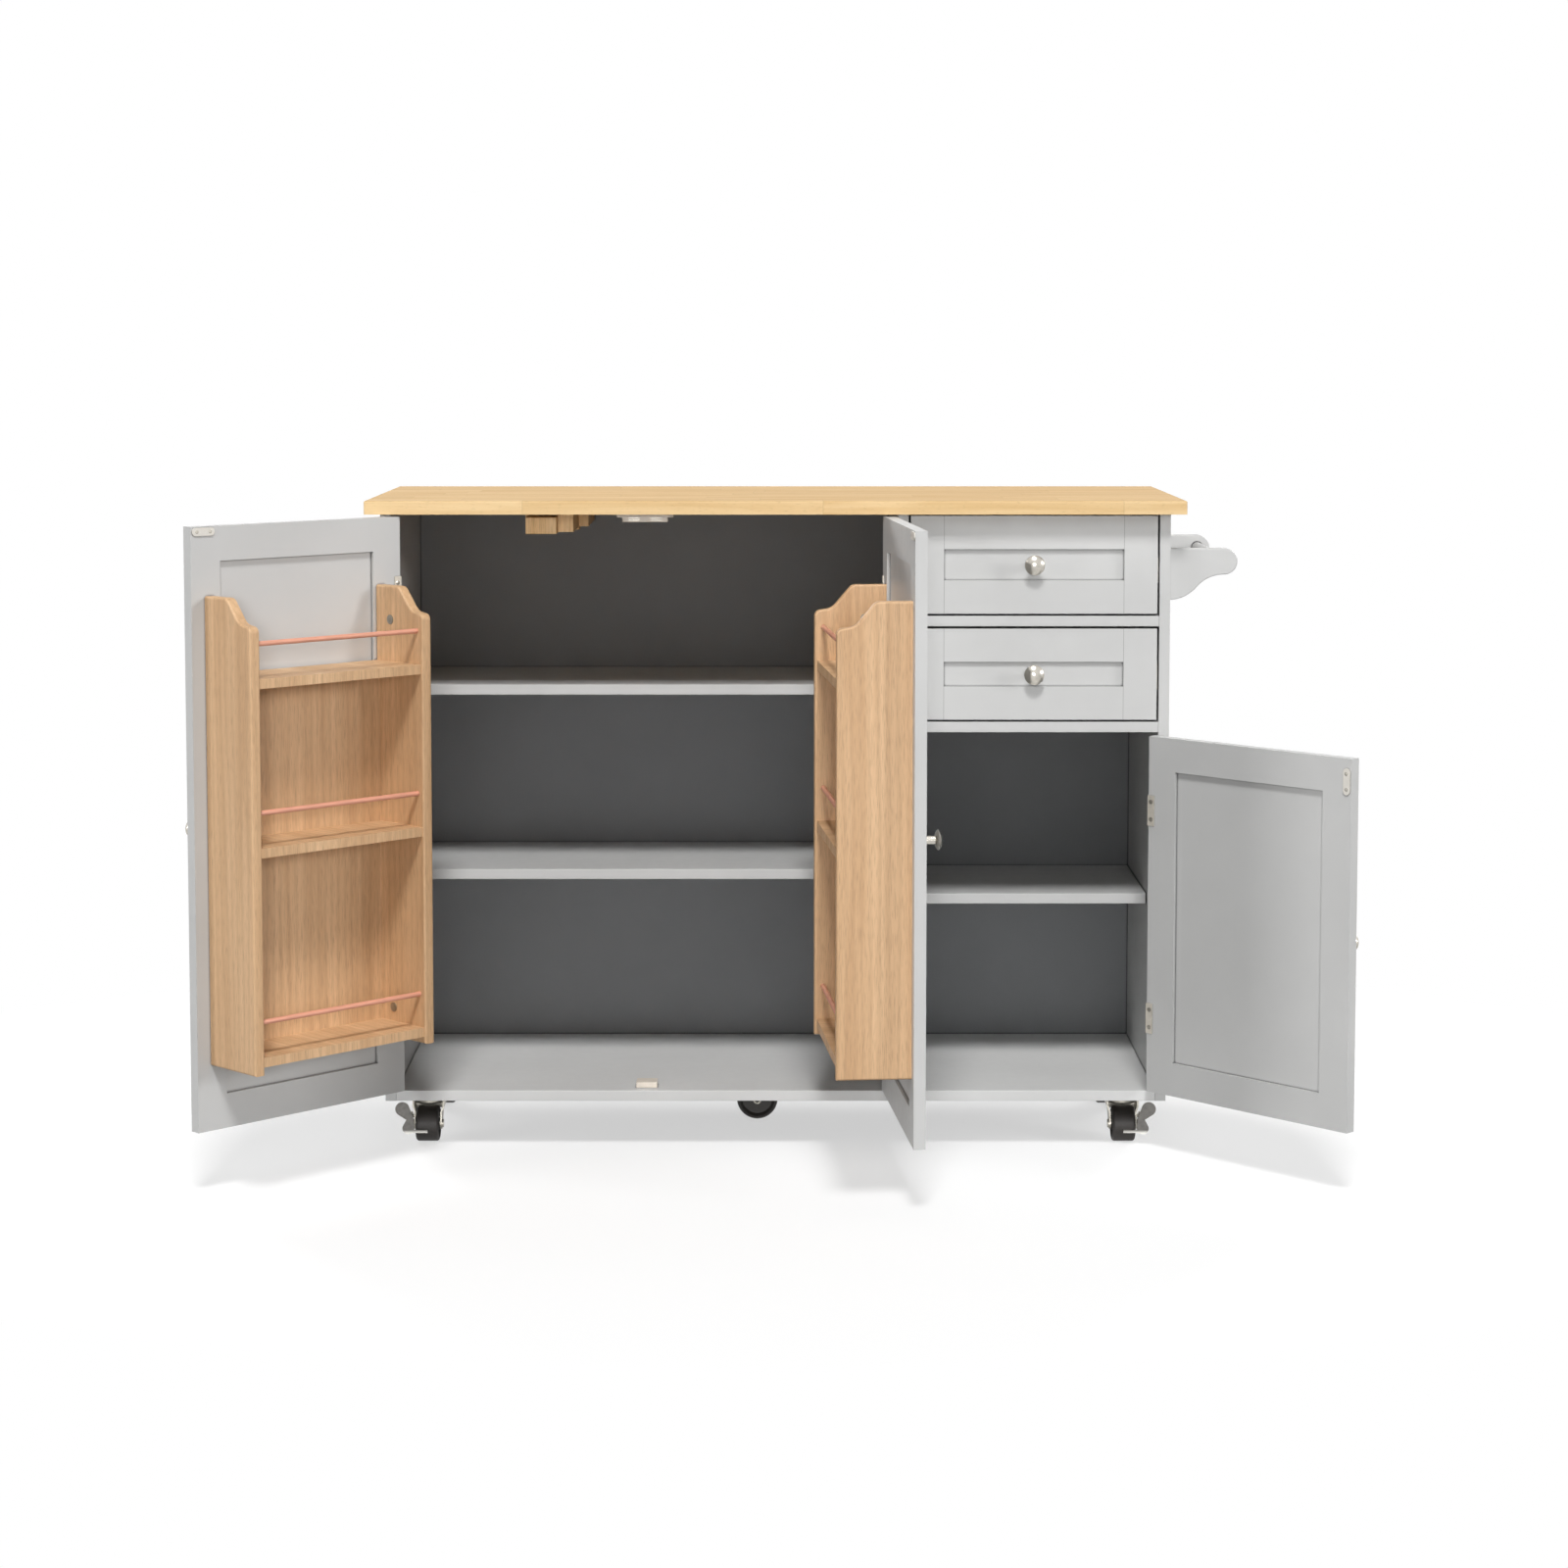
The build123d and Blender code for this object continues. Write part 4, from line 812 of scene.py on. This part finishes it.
def shown_rays(tree):
    """One for the rays that show the background: the camera's, mirrored ones and those through glass."""
    rays = tree.nodes.new("ShaderNodeLightPath")
    shown = rays.outputs["Is Camera Ray"]
    for kind in ("Is Glossy Ray", "Is Transmission Ray"):
        either = tree.nodes.new("ShaderNodeMath")
        either.operation = "MAXIMUM"
        tree.links.new(shown, either.inputs[0])
        tree.links.new(rays.outputs[kind], either.inputs[1])
        shown = either.outputs[0]
    return shown


def floor_paper():
    """White paper that takes the shadow near the cabinet, fades to plain white and throws little light."""
    made = Finish("floor_paper", roughness=0.9)
    seen = shown_rays(made.material.node_tree)
    made.colour(made.mix(seen, linear(FLOOR_BOUNCE), linear(FLOOR_WHITE)))
    distance = made.add("ShaderNodeVectorMath", operation="LENGTH")
    made.put(distance.inputs[0], made.stretch(made.coords(), FLOOR_OVAL))
    fade = made.span(distance.outputs["Value"], *FLOOR_FADE, FLOOR_GLOW, 1.0)
    far = made.math("MULTIPLY", fade, seen)
    glow = made.add("ShaderNodeEmission", {"Color": (1, 1, 1, 1), "Strength": 1.0})
    blend = made.add("ShaderNodeMixShader", {0: far, 1: made.shader.outputs[0], 2: glow.outputs[0]})
    made.put(made.nodes["Material Output"].inputs["Surface"], blend.outputs[0])
    return made.material


def lay_floor():
    """A wide floor under the casters."""
    mesh = bpy.data.meshes.new("floor")
    ways = ((-1, -1), (1, -1), (1, 1), (-1, 1))
    mesh.from_pydata([(x * FLOOR_HALF, y * FLOOR_HALF, 0) for x, y in ways], [], [(0, 1, 2, 3)])
    mesh.materials.append(floor_paper())
    floor = bpy.data.objects.new("floor", mesh)
    bpy.context.scene.collection.objects.link(floor)


def surround():
    """Surroundings that look white and give little light."""
    world = bpy.data.worlds.new("studio")
    bpy.context.scene.world = world
    world.use_nodes = True
    tree = world.node_tree
    background = tree.nodes["Background"]
    background.inputs["Color"].default_value = (1, 1, 1, 1)
    strength = tree.nodes.new("ShaderNodeMapRange")
    strength.inputs["To Min"].default_value = AMBIENT
    strength.inputs["To Max"].default_value = 1.0
    tree.links.new(shown_rays(tree), strength.inputs["Value"])
    tree.links.new(strength.outputs["Result"], background.inputs["Strength"])


def area_light(name, azimuth, elevation, power):
    """A square soft lamp that faces the cabinet; azimuth runs from the front to the right."""
    level = LIGHT_FAR * math.cos(elevation)
    offset = Vector((level * math.sin(azimuth), -level * math.cos(azimuth), LIGHT_FAR * math.sin(elevation)))
    lamp = bpy.data.lights.new(name, "AREA")
    lamp.size = LIGHT_SIZE
    lamp.energy = power
    light = bpy.data.objects.new(name, lamp)
    light.location = Vector(LIGHT_TARGET) + offset
    light.rotation_euler = (-offset).to_track_quat("-Z", "Y").to_euler()
    bpy.context.scene.collection.objects.link(light)
    return light


def hang_lamps():
    """The lamps. Those on the front side skip the back panel, which brings the inside nearer to the photo."""
    skipped = bpy.data.collections.new("unlit_from_front")
    skipped.objects.link(NODES["back_panel"])
    skipped.collection_objects[0].light_linking.link_state = "EXCLUDE"
    for name, azimuth, elevation, power in LIGHTS:
        light = area_light(name, math.radians(azimuth), math.radians(elevation), power)
        if abs(azimuth) < FRONT_SIDE:
            light.light_linking.receiver_collection = skipped


def set_camera():
    """The photograph's camera, and plain display colours."""
    camera = bpy.data.objects.new("camera", bpy.data.cameras.new("camera"))
    bpy.context.scene.collection.objects.link(camera)
    camera.location = CAMERA_PLACE
    camera.rotation_euler = (math.pi / 2 - CAMERA_PITCH, 0, 0)
    camera.data.lens = CAMERA_LENS
    camera.data.sensor_width = CAMERA_SENSOR
    camera.data.shift_x, camera.data.shift_y = CAMERA_SHIFT
    bpy.context.scene.camera = camera
    bpy.context.scene.view_settings.view_transform = "Standard"


dress_nodes()
door_screws()
leaf_hinge_screws()
frame_screws()
catch_magnets()
axle_rings()
fork_tabs()
lay_floor()
surround()
hang_lamps()
set_camera()
